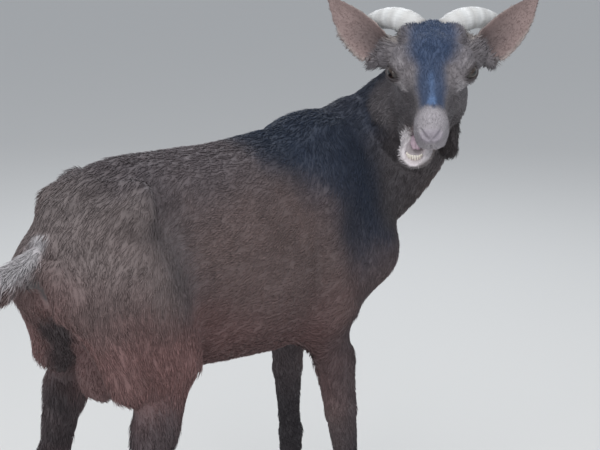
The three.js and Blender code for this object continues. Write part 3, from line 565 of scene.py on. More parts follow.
def hindlegFlesh(side, stifle, hock, hindfoot, **_):
    y, hockZ, fet = spread["hind"] * side, levels["hock"], levels["fetlock"]

    def shinX(h):
        return stifle - 12 + (hock + 8 - stifle + 12) * (492 - h) / (492 - hockZ)

    def boneX(h):
        return hindfoot + (hock - hindfoot) * (h - fet) / (hockZ - fet)

    return [
        limb((stifle - 4, 71 * side, 498), (shinX(430), y, 430), 36, 27, 24, 0.85),
        limb((shinX(440) - 8, y, 440), (shinX(340) - 2, y, 340), 29, 17, 12, 0.85),
        limb((shinX(340), y, 340), (hock + 5, y, hockZ + 4), 16.5, 17.5, 5, 0.92),
        limb((shinX(370) - 20, y, 370), (hock - 22, y, hockZ + 14), 8.5, 9.5, 14),
        limb((hock - 22, y, hockZ + 14), (hock - 8, y, hockZ - 18), 10, 14, 12),
        limb((hock + 5, y, hockZ + 4), (hock - 2, y, hockZ - 26), 17.5, 16, 5, 0.95),
        limb((hock - 2, y, hockZ - 26), (boneX(216) - 1, y, 216), 16, 13.2, 5, 0.92),
        limb((boneX(216) - 1, y, 216), (boneX(150), y, 150), 13.2, 12.6, 5, 0.9),
        limb((boneX(150), y, 150), (hindfoot - 1, y, fet + 4), 12.6, 16, 5, 1),
    ] + footFlesh(hindfoot, y, 14, 22)


# The head, in its own frame: x towards the nose, y to its left, z up, from the poll.

head = {
    "poll": np.array([228.0, -146.0, 830.0]), "turn": -148, "dip": 21, "roll": 1,
    "jawHinge": np.array([26.0, 0, -34]), "jawDrop": 13, "jawSwing": 9,
    "eyeRadius": 12.5, "eyeAt": (80.5, 40.5, -18),
    "reach": 118,           # what lies nearer to its middle than this is kept fine
}


def headAxes():
    turn, dip, roll = (math.radians(head[k]) for k in ("turn", "dip", "roll"))
    forward = np.array([math.cos(turn) * math.cos(dip), math.sin(turn) * math.cos(dip), -math.sin(dip)])
    left = np.array([-math.sin(turn), math.cos(turn), 0])
    up = np.cross(forward, left)
    return np.stack([forward, left, up], 1) @ np.array(Matrix.Rotation(roll, 3, "X"))


headTurned = headAxes()
jawTurned = np.array(Matrix.Rotation(math.radians(-head["jawSwing"]), 3, "Z")
                     @ Matrix.Rotation(math.radians(head["jawDrop"]), 3, "Y"))


def fromHead(q):
    return head["poll"] + np.asarray(q, float) @ headTurned.T


def intoHead(p):
    return (p - head["poll"]) @ headTurned


def headReach(q, x=85, z=-40):
    # Distance from a point in the middle of the head.
    return np.linalg.norm(q - (x, 0, z), axis=1)


def fromJaw(q):
    return fromHead(head["jawHinge"] + (np.asarray(q, float) - head["jawHinge"]) @ jawTurned.T)


def intoJaw(q):
    return head["jawHinge"] + (q - head["jawHinge"]) @ jawTurned


def skullFlesh():
    pieces = [
        mass((42, 0, -22), (52, 40, 36), 18, 8), mass((14, 0, -14), (30, 34, 25), 18),
        limb((56, 0, -8), (112, 0, -25), 20, 16, 14, 1.42),
        limb((108, 0, -26), (158, 0, -41), 16, 15, 12, 1.1),
        mass((160, 0, -48), (25, 16.6, 20), 12, 16), mass((173, 0, -44), (12, 13.2, 11), 10, 12),
        mass((120, 0, -48), (48, 19.5, 18), 14, 12), mass((70, 0, -62), (38, 24, 30), 16),
    ]
    for s in (-1, 1):
        pieces += [
            limb((64, 35 * s, -9), (77, 37 * s, -17), 15, 14.4, 12),
            limb((96, 25 * s, -28), (62, 37 * s, -28), 11, 12, 14),
            mass((50, 25 * s, -58), (33, 17, 36), 16, -12),
            limb((26, 26 * s, 2), (12, 30 * s, -4), 14, 12, 12),
            limb((18, 34 * s, -22), (22, 46 * s, -27), 15, 12, 12),
            limb((146, 10.5 * s, -58), (170, 7 * s, -62), 10, 8.5, 8),
            limb((84, 13 * s, -66), (118, 11 * s, -69), 15, 10.5, 10),
        ]
    return pieces


def jawFlesh():
    pieces = [
        limb((150, 0, -74), (162, 0, -70), 13, 9, 10, 1.25), mass((158, 0, -67), (14, 15.5, 8), 8),
        mass((96, 0, -78), (58, 18, 13), 14, -6),
    ]
    for s in (-1, 1):
        pieces += [limb((40, 21 * s, -80), (104, 15 * s, -80), 16, 12.5, 14),
                   limb((100, 15 * s, -78), (152, 10 * s, -72), 12, 8.5, 10)]
    return pieces


# Eyelids: a shell just over the eyeball, open in an almond that looks out and a little forward.
eyelid = {
    "outward": (0.62, 0.76, 0.17), "length": (0.74, -0.56, -0.34),
    "thick": 2.0, "open": (0.80, 0.44), "under": 1.6, "edge": 1.6, "rim": (12, 7.4),
}


def eyeAxes(side):
    out = unit(np.array(eyelid["outward"]) * (1, side, 1))
    along = np.array(eyelid["length"]) * (1, side, 1)
    along = unit(along - out * (along @ out))
    return np.stack([along, np.cross(out, along) * side, out], 1)   # along, up, out


def eyeLocal(q, side):
    return (q - np.array(head["eyeAt"]) * (1, side, 1)) @ eyeAxes(side)


def lidRing(local):
    # 1 on the rim of the opening, less inside it and more outside.
    wide, tall = eyelid["rim"]
    return np.sqrt((local[:, 0] / wide)**2 + (local[:, 1] / tall)**2)


def nostrilPieces(s):
    return [limb((186, 3.6 * s, -46.5), (184.5, 8.4 * s, -43.5), 1.3, 2.2, 2),
            limb((184.5, 8.4 * s, -43.5), (178.5, 12.4 * s, -38), 2.2, 1.5, 2)]


skull, jaw = skullFlesh(), jawFlesh()
mouthRoof = mass((166, 0, -67.5), (42, 13, 5), 4, 10)
mouthFloor = mass((149, 0, -61.5), (31, 10.5, 6.5), 4, 2)
mouthGap = mass((168, -6, -76), (42, 21, 7.5), 4, 18)


def mouthDistance(q):
    inside = joinSoft(mouthRoof[0](q), mouthFloor[0](intoJaw(q)), 6)
    return joinSoft(inside, mouthGap[0](q), 6)


# Ears and wattles, in the same terms as the solids.

ear = {
    "root": (24, 47, -28), "tip": (-40, 132, 25), "faceWay": (0.85, 0.05, 0.5),
    "length": 119, "half": 20.5, "above": 0.85, "below": 1.7, "leastHalf": 3.2,
}
wattle = {"top": (46, 24, -98), "hang": 60}


def earAxes(side):
    # Root, and the directions along the ear, into its hollow and across it.
    root, tip = (fromHead(np.array(ear[key]) * (1, side, 1)) for key in ("root", "tip"))
    axis = unit(tip - root)
    hollow = unit(np.array(ear["faceWay"]) * (1, side, 1)) @ headTurned.T
    hollow = unit(hollow - axis * (hollow @ axis))
    return root, axis, hollow, np.cross(axis, hollow) * side


def earPlace(p, side):
    # How far along the ear from 0 to 1, how far across from -1 to 1, and how far into the hollow.
    root, axis, hollow, across = earAxes(side)
    q = p - root
    t = q @ axis / ear["length"]
    bulge = np.sin(math.pi * np.clip(0.14 + 0.86 * np.clip(t, 0, 1)**0.85, 0, 1))**0.7
    half = np.maximum(ear["half"] * bulge, ear["leastHalf"])
    s = q @ across
    return t, s / half / np.where(s > 0, ear["below"], ear["above"]), q @ hollow


def earShare(p):
    # Grows from 0 on the head to 1 on the free part of an ear.
    share = np.zeros(len(p))
    for side in (-1, 1):
        t, s, h = earPlace(p, side)
        near = (t < 1.12) & (np.abs(s) < 1.5) & (np.abs(h) < 34)
        clear = smoothStep(43, 49, intoHead(p)[:, 1] * side)
        share = np.maximum(share, near * smoothStep(0.10, 0.21, t) * clear)
    return share


def nearEar(p):
    # True from the ear's root outward, where a point outside the flesh belongs to the ear's thin sheet.
    return sum((earPlace(p, side)[0] > 0.06) & (intoHead(p)[:, 1] * side > 40) for side in (-1, 1)) > 0


def inEar(p):
    return earShare(p) > 0.5


def wattleLine(side):
    # A wattle hangs straight down from the throat.
    top = fromHead(np.array(wattle["top"]) * (1, side, 1))
    return [top, top - (0, 0, wattle["hang"])]


def wattleFlesh(side):
    top, _ = wattleLine(side)
    return [limb(top + (0, 0, 8), top - (0, 0, 22), 9.5, 10, 7),
            limb(top - (0, 0, 22), top - (0, 0, 45), 10, 12, 5)]


def earRootFlesh(side):
    # The tube at the root of an ear, where it grows out of the head, wider on its lower side.
    root, axis, _, across = earAxes(side)
    return [limb(root - axis * 8, root + axis * 12, 13, 12.5, 12),
            limb(root - axis * 2 - across * 2, root + axis * 13 - across * 5, 11.5, 10.5, 10),
            limb(root - axis * 3 + across * 4, root + axis * 12 + across * 9, 11.5, 11, 10),
            limb(root + axis * 2 + across * 8, root + axis * 13 + across * 17, 9, 9, 10),
            limb(root + axis * 6 + across * 14, root + axis * 14 + across * 27, 8, 6, 8)]


# The whole flesh.

def headDistance(p):
    q = intoHead(p)
    upper = distanceTo(skull, q)
    lower = distanceTo(jaw, intoJaw(q))
    wide = 16 - 13 * smoothStep(95, 125, q[:, 0])
    flesh = joinSoft(upper, lower, wide)
    for side in (-1, 1):
        local = eyeLocal(q, side)
        reach = np.linalg.norm(local, axis=1)
        flesh = joinSoft(flesh, reach - head["eyeRadius"] - eyelid["thick"], 5)
        way = local / np.maximum(reach, 1)[:, None]
        wide, tall = eyelid["open"]
        almond = (np.sqrt((way[:, 0] / wide)**2 + (np.abs(way[:, 1] - 0.02) / tall)**1.7) - 1) * 7
        almond = np.maximum(almond, -8 * way[:, 2] + 1)
        almond = np.maximum(almond, head["eyeRadius"] - eyelid["under"] - reach)
        flesh = cutSoft(flesh, almond, eyelid["edge"])
        flesh = cutSoft(flesh, distanceTo(nostrilPieces(side), q), 2.0)
        flesh = joinSoft(flesh, distanceTo(earRootFlesh(side), p), 12)
        flesh = joinSoft(flesh, distanceTo(wattleFlesh(side), p), 6)
    return np.maximum(flesh, -mouthDistance(q))


tailFlesh = [
    limb((-272, 0, 630), (-330, 3, 610), 15, 14, 18), limb((-330, 3, 610), (-372, 8, 588), 14, 12.5, 10, 1.2),
    limb((-372, 8, 588), (-400, 11, 560), 12.5, 8, 8, 1.2),
]
scrotumFlesh = [mass((-206, 0, 478), (27, 25, 34), 10), limb((-205, 0, 494), (-208, 0, 534), 16, 20, 24)]
bodyPieces = [(trunkDistance, 30), (neckDistance, 46)]
for leg in stance.values():
    bodyPieces += shoulderFlesh(**leg) + hipFlesh(**leg)
legPieces = {leg["side"]: forelegFlesh(**leg) + hindlegFlesh(**leg) for leg in stance.values()}


def fleshDistance(p):
    x, y, z = p.T
    result = onlyNear(lambda q: distanceTo(bodyPieces, q), p, z > 380)
    result = joinSoft(result, onlyNear(headDistance, p, headReach(intoHead(p)) < 190), 26)
    for side in (-1, 1):
        near = (z < 560) & (y * side > -12)
        own = onlyNear(lambda q: distanceTo(legPieces[side], q), p, near)
        result = joinSoft(result, own, 24)
    behind, between = (x < -230) & (z > 500), (np.abs(y) < 60) & (x < -130) & (z < 570)
    result = joinSoft(result, onlyNear(lambda q: distanceTo(tailFlesh, q), p, behind), 14)
    return joinSoft(result, onlyNear(lambda q: distanceTo(scrotumFlesh, q), p, between), 10)


# The skin.

skin = {
    "grow": 0.0009,         # closes the thin cuts between the solids
    "voxel": 0.0021,
    # Place and radius of balls that fill the sockets of horns and ears, in the head's frame.
    "sockets": ((16, 13, -6, 18.6), (11, 18, -3, 18.2), (6, 23, -1, 17.4), (2, 28, -2, 16),
                (24, 45, -28, 12)),
    "breast": ((266, 50, 570, 17), (250, 60, 540, 17)),   # and of those between neck and breast
    "earCut": 0.13,         # share of an ear that is cut off at its root and drawn as a tube instead
    "settleSteps": 6,
    "triangles": 188000,    # left after thinning
}


def headShare(q):
    # 1 on the head and 0 on the neck and body, for points in the head's frame.
    return (smoothStep(-16, 18, q[:, 0]) * smoothStep(-130, -108, q[:, 2])
            * smoothStep(140, 122, headReach(q, z=-45)))


depths = {
    # How far the skin lies inside the tips of the coat, and where less: from, to and by how much.
    "body": 4.6, "downLegs": [(470, 380, 1.4), (360, 250, 1.2), (150, 95, 0.9)],
    "head": 2.6, "alongHead": [(20, 60, 1.2), (130, 165, 0.9)],
    "wattle": 2.4, "earRoot": 1.6, "scrotum": 1.6,
    "atEyes": 0.15,         # share of the depth that is left round the eyes
}


def lessened(depth, steps, place):
    for start, end, amount in steps:
        depth = depth - amount * smoothStep(start, end, place)
    return depth


def coatDepth(p):
    q = intoHead(p)
    depth = lessened(depths["body"], depths["downLegs"], p[:, 2])
    headDepth = lessened(depths["head"], depths["alongHead"], q[:, 0])
    depth = depth + (headDepth - depth) * headShare(q)
    for side in (-1, 1):
        atEye = smoothStep(20, 15, np.linalg.norm(eyeLocal(q, side), axis=1))
        depth = depth * (1 - (1 - depths["atEyes"]) * atEye)
        depth = depth + (depths["wattle"] - depth) * smoothStep(20, 14, alongLine(p, wattleLine(side)))
        t, _, _ = earPlace(p, side)
        root = smoothStep(-0.1, 0.1, t) * smoothStep(40, 50, q[:, 1] * side)
        depth = depth + (depths["earRoot"] - depth) * root
    scrotum = smoothStep(45, 30, np.linalg.norm((p - (-206, 0, 472)) * (1, 1, 0.8), axis=1))
    return depth + (depths["scrotum"] - depth) * scrotum


def both(points, side):
    return [(x, y * side, z) for x, y, z in points]


# Folds and forms too fine for the solids: points, half width, height. The middle ones aren't mirrored.
bodyForms = [
    ([(-256, 12, 680), (-238, 14, 692), (-222, 18, 697), (-205, 27, 697), (-192, 38, 694), (-184, 50, 688),
      (-186, 62, 681), (-190, 72, 668)], 8, 5.0),                       # hip bone under the skin
    ([(-228, 48, 668), (-236, 62, 640)], 24, -4.5),                     # hollow behind it
    ([(-158, 66, 650), (-132, 84, 606)], 26, -6.5),                     # hollow of the flank
    ([(-283, 33, 608), (-281, 38, 598)], 13, 3.0),                      # pin bone
    ([(120, 40, 690), (180, 62, 612), (216, 78, 548)], 12, 2.6),        # shoulder blade
    ([(98, 70, 640), (76, 94, 560), (92, 100, 492)], 14, -3.4),         # furrow behind the shoulder
    ([(118, 96, 486), (160, 100, 462)], 11, 2.6),
    ([(-268, 62, 590), (-257, 84, 520), (-240, 90, 440)], 8, -3.2),     # furrow down the back of the thigh
    ([(-225, 100, 560), (-200, 108, 500)], 22, 2.5),
    ([(-168, 104, 500), (-132, 96, 480), (-84, 88, 462)], 10, 3.4),     # fold of the flank
    ([(-238, 98, 384), (-262, 92, 300)], 5, -2.6), ([(-238, 64, 384), (-262, 68, 300)], 5, -2.6),
    ([(-254, 93, 240), (-250, 92, 130)], 4, -1.6), ([(-254, 68, 240), (-250, 69, 130)], 4, -1.6),
    ([(-283, 11, 612), (-284, 15, 584), (-270, 13, 540), (-246, 8, 512)], 3.4, 3.2),   # folds below the tail
    ([(232, 40, 560), (262, 16, 470)], 10, -2.0),
    ([(196, 62, 640), (246, 48, 572)], 9, -2.0),                        # furrow in front of the shoulder
]
middleForms = [
    ([(-230, 0, 706), (-60, 0, 708), (140, 0, 708)], 9, 1.8),           # ridge of the back
    ([(-288, 0, 608), (-286, 0, 603)], 5, -4.0),
    ([(-286, 0, 592), (-266, 0, 530), (-236, 0, 500)], 2.6, -1.8),
    ([(-234, 0, 496), (-222, 0, 456), (-206, 0, 443), (-184, 0, 456)], 5, -4.2),
    ([(206, -54, 792), (226, -62, 752), (246, -72, 700)], 7, -2.6),     # folds where the neck bends
    ([(218, -78, 770), (226, -96, 730), (232, -112, 690)], 6, -2.2),
]
headForms = [
    ([(64, 38, 1), (80, 38, 1), (94, 31, -7)], 5.0, 1.3),               # brow
    ([(68, 47, -5), (82, 44, -2.5), (95, 36, -9)], 2.0, -1.5),          # fold over the upper lid
    ([(70, 50, -30), (84, 47, -33), (96, 38, -29)], 2.0, -1.2),
    ([(94, 35, -22), (106, 29, -31)], 2.4, -1.6),                       # tear groove
    ([(88, 37, -41), (116, 26, -48)], 5, 1.6),                          # cheek crest
    ([(106, 28, -38), (130, 20, -44)], 8, -1.6),
    ([(108, 17, -14), (150, 12, -27)], 3.6, -0.9),
    ([(62, 18, 15), (86, 16, 8)], 12, 1.4),
    ([(50, 42, -6), (46, 44, -14)], 9, -3.0),                           # temple
    ([(28, 36, -80), (62, 36, -94), (82, 30, -86)], 6, 1.6),            # back edge of the jaw
    ([(188, 4, -49), (187.5, 10.5, -37.5), (177, 17, -35)], 2.0, 1.3),  # wing of the nostril
    ([(110, 18, -72), (121, 15, -63)], 2.2, -1.4), ([(106, 20, -66), (116, 17, -58)], 2.0, -0.9),
    ([(150, 20, -50), (168, 16, -44)], 3.0, -0.9),
]
headMiddleForms = [
    ([(50, 0, 18), (96, 0, 8)], 7, -1.2),
    ([(187, 0, -38), (186, 0, -52), (180, 0, -63)], 1.5, -1.6),         # groove of the upper lip
]
ribs = {"count": 8, "first": 104, "apart": 25, "half": 6.5, "height": 1.1}


def alongLine(p, points):
    # Distance from each point to a line of points.
    points = np.array(points, float)
    best = np.full(len(p), 1e4)
    for a, b in zip(points[:-1], points[1:]):
        run = b - a
        t = np.clip((p - a) @ run / (run @ run), 0, 1)
        best = np.minimum(best, np.linalg.norm(p - a - t[:, None] * run, axis=1))
    return best


def formHeight(p):
    height = np.zeros(len(p))
    q = intoHead(p)
    nearHead = headReach(q, 90) < 150
    for forms, sides, local, near in (
            (bodyForms, (-1, 1), p, p[:, 2] > 90), (middleForms, (1,), p, p[:, 2] > 400),
            (headForms, (-1, 1), q, nearHead), (headMiddleForms, (1,), q, nearHead)):
        spots = local[near]
        gained = np.zeros(len(spots))
        for points, half, tall in forms:
            for side in sides:
                gained += tall * np.exp(-(alongLine(spots, both(points, side)) / half)**2)
        height[near] += gained
    ridges = np.zeros(len(p))
    for i in range(ribs["count"]):
        x = ribs["first"] - ribs["apart"] * i
        for side in (-1, 1):
            line = both([(x, 84, 628), (x - 16, 100, 560), (x - 20, 92, 480)], side)
            ridges += np.exp(-(alongLine(p, line) / ribs["half"])**2)
    return height + ribs["height"] * ridges


def makeSkinBase():
    flesh = [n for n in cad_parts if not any(
        word in n for word in ("horn", "claw", "tongue", "teeth"))]   # "claw" covers the dewclaws
    joined = bmesh.new()
    for name in flesh:
        part = mergedCopy(name, skin["grow"])
        if name.endswith("_ear"):
            root, axis, _, _ = earAxes(-1 if name.startswith("right") else 1)
            cutAt = toMetres(root + axis * ear["length"] * skin["earCut"])
            cut = bmesh.ops.bisect_plane(
                part, geom=part.verts[:] + part.edges[:] + part.faces[:], clear_inner=True,
                plane_no=axis, plane_co=cutAt)["geom_cut"]
            bmesh.ops.holes_fill(part, edges=[e for e in cut if isinstance(e, bmesh.types.BMEdge)])
        addPart(joined, part)
    for side in (-1, 1):
        lid = fromHead(np.array(head["eyeAt"]) * (1, side, 1))
        balls = [(lid, head["eyeRadius"] + eyelid["thick"], 4)]
        balls += [(fromHead((x, y * side, z)), radius, 3) for x, y, z, radius in skin["sockets"]]
        balls += [((x, y * side, z), radius, 3) for x, y, z, radius in skin["breast"]]
        for at, radius, fineness in balls:
            bmesh.ops.create_icosphere(joined, subdivisions=fineness, radius=radius / 1000,
                                       matrix=Matrix.Translation(toMetres(at)))
    made = objectFrom(joined, "skin")
    mesh = applied(made, type="REMESH", mode="VOXEL", voxel_size=skin["voxel"])
    bpy.data.objects.remove(made)
    return mesh


def refineFace(mesh):
    bm = bmesh.new()
    bm.from_mesh(mesh)
    co = toOwn(coordinates(mesh))
    q = intoHead(co)
    fine = (np.linalg.norm(q - (166, 0, -55), axis=1) < 40)
    for side in (-1, 1):
        fine |= np.linalg.norm(eyeLocal(q, side) - (0, 0, 8), axis=1) < 19
    bm.verts.ensure_lookup_table()
    edges = [e for e in bm.edges if fine[e.verts[0].index] and fine[e.verts[1].index]]
    bmesh.ops.subdivide_edges(bm, edges=edges, cuts=1, use_grid_fill=True)
    bm.to_mesh(mesh)
    bm.free()


def wayOut(p, n, flesh):
    # The skin's own normals, but the slope of the flesh where a ridge of the body stands clear of it.
    clear = (flesh > 1.0) & (headReach(intoHead(p)) > head["reach"])
    spots = p[clear]
    slope = np.stack([fleshDistance(spots + step) - fleshDistance(spots - step)
                      for step in np.eye(3) * 0.5], axis=1)
    steep = np.linalg.norm(slope, axis=1)
    way = n.copy()
    way[clear] = np.where((steep > 0.1)[:, None], slope / np.maximum(steep, 0.1)[:, None], n[clear])
    return way


def thinSkin(made, onHead):
    # Thins the body's part of the skin and leaves the head as fine as it is.
    old = made.data
    group = made.vertex_groups.new(name="thin")
    group.add(np.nonzero(~onHead)[0].tolist(), 1.0, "REPLACE")
    thinned = applied(made, type="DECIMATE", ratio=skin["triangles"] / (len(old.polygons) * 2),
                      vertex_group="thin", vertex_group_factor=10.0, use_collapse_triangulate=True)
    made.data = thinned
    bpy.data.meshes.remove(old)
    made.vertex_groups.clear()
    tell(f"skin thinned to {len(thinned.polygons)} triangles")


def makeSkin():
    mesh = makeSkinBase()
    tell(f"skin remeshed, {len(mesh.vertices)} points")
    refineFace(mesh)
    edges = meshEdges(mesh)
    co = toOwn(coordinates(mesh))
    co = relax(co, edges, 5, 0.5)
    for step in range(skin["settleSteps"]):
        setCoordinates(mesh, toMetres(co))
        n = vertexNormals(mesh)
        flesh = fleshDistance(co)
        if step == 0:
            hold = (1 - smoothStep(7, 13, np.abs(flesh))) * (1 - earShare(co))
            hold *= 1 - nearEar(co) * smoothStep(0.5, 3.5, flesh)
            co -= n * ((1 - hold) * 1.2)[:, None]
        move = np.clip(flesh + coatDepth(co), -3, 3) * 0.85 * hold
        co -= wayOut(co, n, flesh) * move[:, None]
        if step < skin["settleSteps"] - 1:
            co = relax(co, edges, 1, 0.25)
    setCoordinates(mesh, toMetres(co))
    tell("skin settled")
    co += vertexNormals(mesh) * formHeight(co)[:, None]
    onHead = (headReach(intoHead(co)) < head["reach"]) | inEar(co)
    co = relax(co, edges, 3, 0.5, np.where(onHead, 0.12, 1.0))
    setCoordinates(mesh, toMetres(co))
    made = objectFrom(mesh, "skin")
    thinSkin(made, onHead)
    shadeSmooth(made)
    return made


# The lie of the coat: lines that the hair follows, from root to tip.

combing = {
    "body": [
        ([(190, 0, 712), (0, 0, 712), (-200, 0, 716), (-262, 0, 690), (-292, 0, 640)], 34),
        ([(200, 70, 640), (60, 100, 600), (-120, 98, 580)], 60),
        ([(180, 80, 540), (40, 104, 520), (-120, 96, 500)], 50),
        ([(150, 40, 440), (0, 60, 430), (-140, 60, 450)], 40),
        ([(-150, 70, 690), (-210, 80, 640), (-270, 60, 590)], 40),
        ([(-262, 62, 610), (-236, 92, 520), (-196, 96, 420)], 44),
        ([(-284, 30, 600), (-272, 50, 520), (-240, 70, 400)], 34),
        ([(-175, 100, 560), (-175, 100, 480), (-205, 90, 400)], 40),
        ([(150, 50, 680), (190, 80, 580), (170, 84, 490), (165, 80, 400)], 44),
        ([(262, 0, 600), (258, 0, 520), (230, 20, 450)], 40),
        ([(170, 78, 420), (190, 78, 300), (196, 78, 60)], 40),
        ([(-200, 82, 420), (-250, 82, 290), (-242, 82, 60)], 40),
        ([(-206, 12, 530), (-206, 16, 440)], 20),
    ],
    "neck": [
        ([(232, -160, 770), (244, -112, 725), (262, -70, 680), (252, -30, 610), (225, 0, 520)], 40),
        ([(220, -110, 810), (226, -60, 760), (180, -10, 712)], 40),
        ([(214, -170, 760), (226, -140, 680), (262, -70, 580)], 36),
    ],
    "tail": [([(-272, 0, 632), (-330, 3, 612), (-372, 8, 590), (-404, 11, 556)], 16)],
    "head": [
        ([(188, 0, -30), (150, 0, -18), (100, 0, 6), (50, 0, 18), (20, 0, 16)], 16),
        ([(170, 18, -42), (120, 28, -36), (84, 44, -40), (40, 46, -50)], 16),
        ([(96, 30, -6), (70, 40, 2), (40, 36, 4), (10, 34, 0)], 12),
        ([(160, 12, -72), (110, 22, -84), (50, 34, -92), (10, 34, -110)], 18),
        ([(60, 0, 20), (30, 0, 18), (0, 0, 10), (-40, 0, 0)], 16),
    ],
}


def combLines():
    lines = []
    for place, strokes in combing.items():
        for points, reach in strokes:
            for side in ((-1, 1) if place in ("body", "head") else (1,)):
                own = np.array(both(points, side), float)
                if place == "head":
                    own = fromHead(own)
                lines += [(a, b, reach) for a, b in zip(own[:-1], own[1:])]
    for side in (-1, 1):
        root, axis, _, _ = earAxes(side)
        lines += [(root + axis * 6, root + axis * 125, 14)] * 2   # twice, to outweigh the head's
        lines.append((*wattleLine(side), 5))
    return lines


def hairLie(p, n):
    total = np.zeros_like(p)
    for a, b, reach in combLines():
        run = b - a
        t = np.clip((p - a) @ run / (run @ run), 0, 1)
        far = np.linalg.norm(p - a - t[:, None] * run, axis=1)
        total += unit(run) * (np.exp(-(far / reach)**2) + 1e-3 / (1 + (far / reach)**4))[:, None]
    total -= n * np.sum(total * n, axis=1)[:, None]
    return unit(total)


# Colours of the coat, painted by regions and shared by the skin and the tufts.

palette = {
    "brown": (108, 93, 92), "greyBrown": (112, 104, 104), "darkBack": (88, 83, 88), "red": (120, 90, 89),
    # The bluish colours here are black hair with a painted blue skylight sheen.
    "flank": (104, 79, 79), "blackWithSkySheen": (38, 48, 66), "shoulder": (50, 58, 74), "throat": (84, 79, 82),
    # The inner colour is painted shade between the legs.
    "leg": (78, 70, 74), "lowLeg": (50, 46, 51), "inner": (50, 45, 49), "blaze": (50, 68, 98),
    "cheek": (112, 108, 112), "pale": (160, 156, 160), "muzzle": (158, 154, 160), "chin": (112, 100, 96),
    # The light blue below is a painted highlight along the bridge of the nose.
    "bridgeHighlight": (98, 128, 172), "browGrey": (116, 112, 118), "upperLip": (134, 128, 134),
    "earInside": (134, 116, 114), "earRim": (178, 168, 164),
    # The darkest ear colour is painted shade in the ear's hollow.
    "earBack": (100, 92, 92), "earHollowShade": (66, 56, 58),
    "tail": (176, 174, 178), "hornHair": (140, 134, 132),
    "perineum": (58, 50, 54), "paleEdge": (150, 142, 140), "lip": (214, 209, 213), "mouth": (176, 158, 168),
    "palate": (150, 132, 140), "nose": (138, 132, 142), "wattle": (60, 55, 57),
    "lid": (56, 50, 52), "reddish": (92, 76, 78), "streak": (140, 124, 120),
}
paint = {name: linear(rgb) for name, rgb in palette.items()}
# Each stroke of paint: colour, points, inner half width, fade, strength.
bodyPaint = [
    ("darkBack", [(200, 0, 712), (0, 0, 716), (-200, 0, 722)], 16, 120, 0.6),
    ("flank", [(120, 60, 420), (-40, 84, 430), (-150, 92, 470)], 26, 120, 0.85),
    ("red", [(-262, 64, 600), (-238, 94, 520), (-212, 92, 430)], 30, 80, 0.85),
    ("red", [(-150, 92, 480), (-90, 90, 470)], 14, 80, 0.5),
    ("greyBrown", [(-258, 40, 662), (-226, 70, 650), (-200, 84, 620)], 22, 72, 0.8),
    ("greyBrown", [(-268, 50, 628), (-262, 66, 596)], 12, 50, 0.5),
    ("darkBack", [(-168, 50, 700), (-160, 84, 640), (-150, 98, 580)], 8, 44, 0.5),
    # Painted blue skylight sheen on the black hair of the shoulder and withers.
    ("shoulder", [(110, 30, 704), (160, 66, 650), (190, 80, 590)], 26, 90, 0.8),
    ("blackWithSkySheen", [(84, 0, 716), (140, 36, 694), (180, 62, 650), (204, 64, 610)], 18, 70, 0.9),
    ("leg", [(170, 78, 440), (196, 78, 240)], 30, 60, 0.9),
    ("reddish", [(150, 96, 440), (176, 92, 330)], 10, 26, 0.5),
    ("lowLeg", [(190, 78, 240), (190, 78, 40)], 30, 90, 0.95),
    ("leg", [(-214, 86, 400), (-250, 82, 320)], 34, 60, 0.9),
    ("lowLeg", [(-250, 82, 300), (-240, 82, 40)], 30, 90, 0.95),
    # Painted shade inside the thigh and, next, in the armpit.
    ("inner", [(-232, 30, 540), (-215, 42, 460), (-220, 54, 380)], 14, 26, 0.9),
    ("inner", [(150, 36, 470), (190, 44, 400)], 10, 24, 0.7),
    ("reddish", [(-214, 62, 360), (-240, 66, 300)], 10, 24, 0.6),
]
neckPaint = [
    # Painted blue skylight sheen on the black hair along the top of the neck.
    ("blackWithSkySheen", [(228, -120, 800), (250, -66, 752), (200, -10, 716)], 24, 60, 0.8),
    ("shoulder", [(236, -120, 760), (264, -60, 690), (236, -20, 640)], 36, 70, 0.6),
    ("throat", [(214, -168, 752), (232, -140, 690), (262, -90, 620), (262, -30, 560)], 24, 56, 0.85),
    ("flank", [(262, 0, 540), (240, 0, 470)], 20, 50, 0.5),
    ("tail", [(-300, 0, 636), (-334, 3, 622), (-376, 8, 600), (-406, 11, 568)], 14, 12, 0.9),
    ("perineum", [(-288, 0, 606), (-282, 0, 570), (-262, 0, 530)], 10, 8, 0.95),
    ("flank", [(-206, 0, 500), (-206, 0, 450)], 26, 14, 0.9),
]
edgePaint = [
    ("paleEdge", [(-283, 12, 612), (-285, 16, 584), (-272, 14, 542)], 2.4, 3.4, 0.8),
]
headPaint = [
    ("cheek", [(120, 24, -40), (70, 44, -40), (40, 40, -50)], 30, 30, 0.95),
    ("browGrey", [(20, 30, 0), (60, 34, 6), (88, 26, 4)], 9, 12, 0.6),
    ("throat", [(100, 10, -92), (50, 20, -100), (10, 20, -110)], 18, 20, 0.8),
    # The blaze: black hair with a painted blue skylight sheen.
    ("blaze", [(4, 0, 12), (40, 11, 16), (76, 10, 12)], 10, 20, 0.92),
    ("blaze", [(76, 5, 12), (112, 5, -4), (140, 5, -18)], 7, 16, 0.9),
    ("pale", [(96, 34, 0), (86, 41, 2)], 2.5, 6, 0.7),
    ("pale", [(101, 33, -27), (93, 41, -33)], 4.5, 7, 0.85),
    ("pale", [(78, 49, -33), (68, 48, -34)], 2, 6, 0.45),
    ("upperLip", [(152, 18, -56), (128, 22, -58)], 4, 10, 0.6),
    ("muzzle", [(164, 5, -34), (176, 5, -38)], 7, 14, 0.9),
    ("muzzle", [(164, 12, -48), (178, 10, -56)], 8, 12, 0.85),
    ("chin", [(150, 10, -86), (120, 16, -86)], 10, 14, 0.6),
    ("hornHair", [(14, 44, -6), (4, 48, -16), (-6, 44, -22)], 7, 9, 0.85),
]
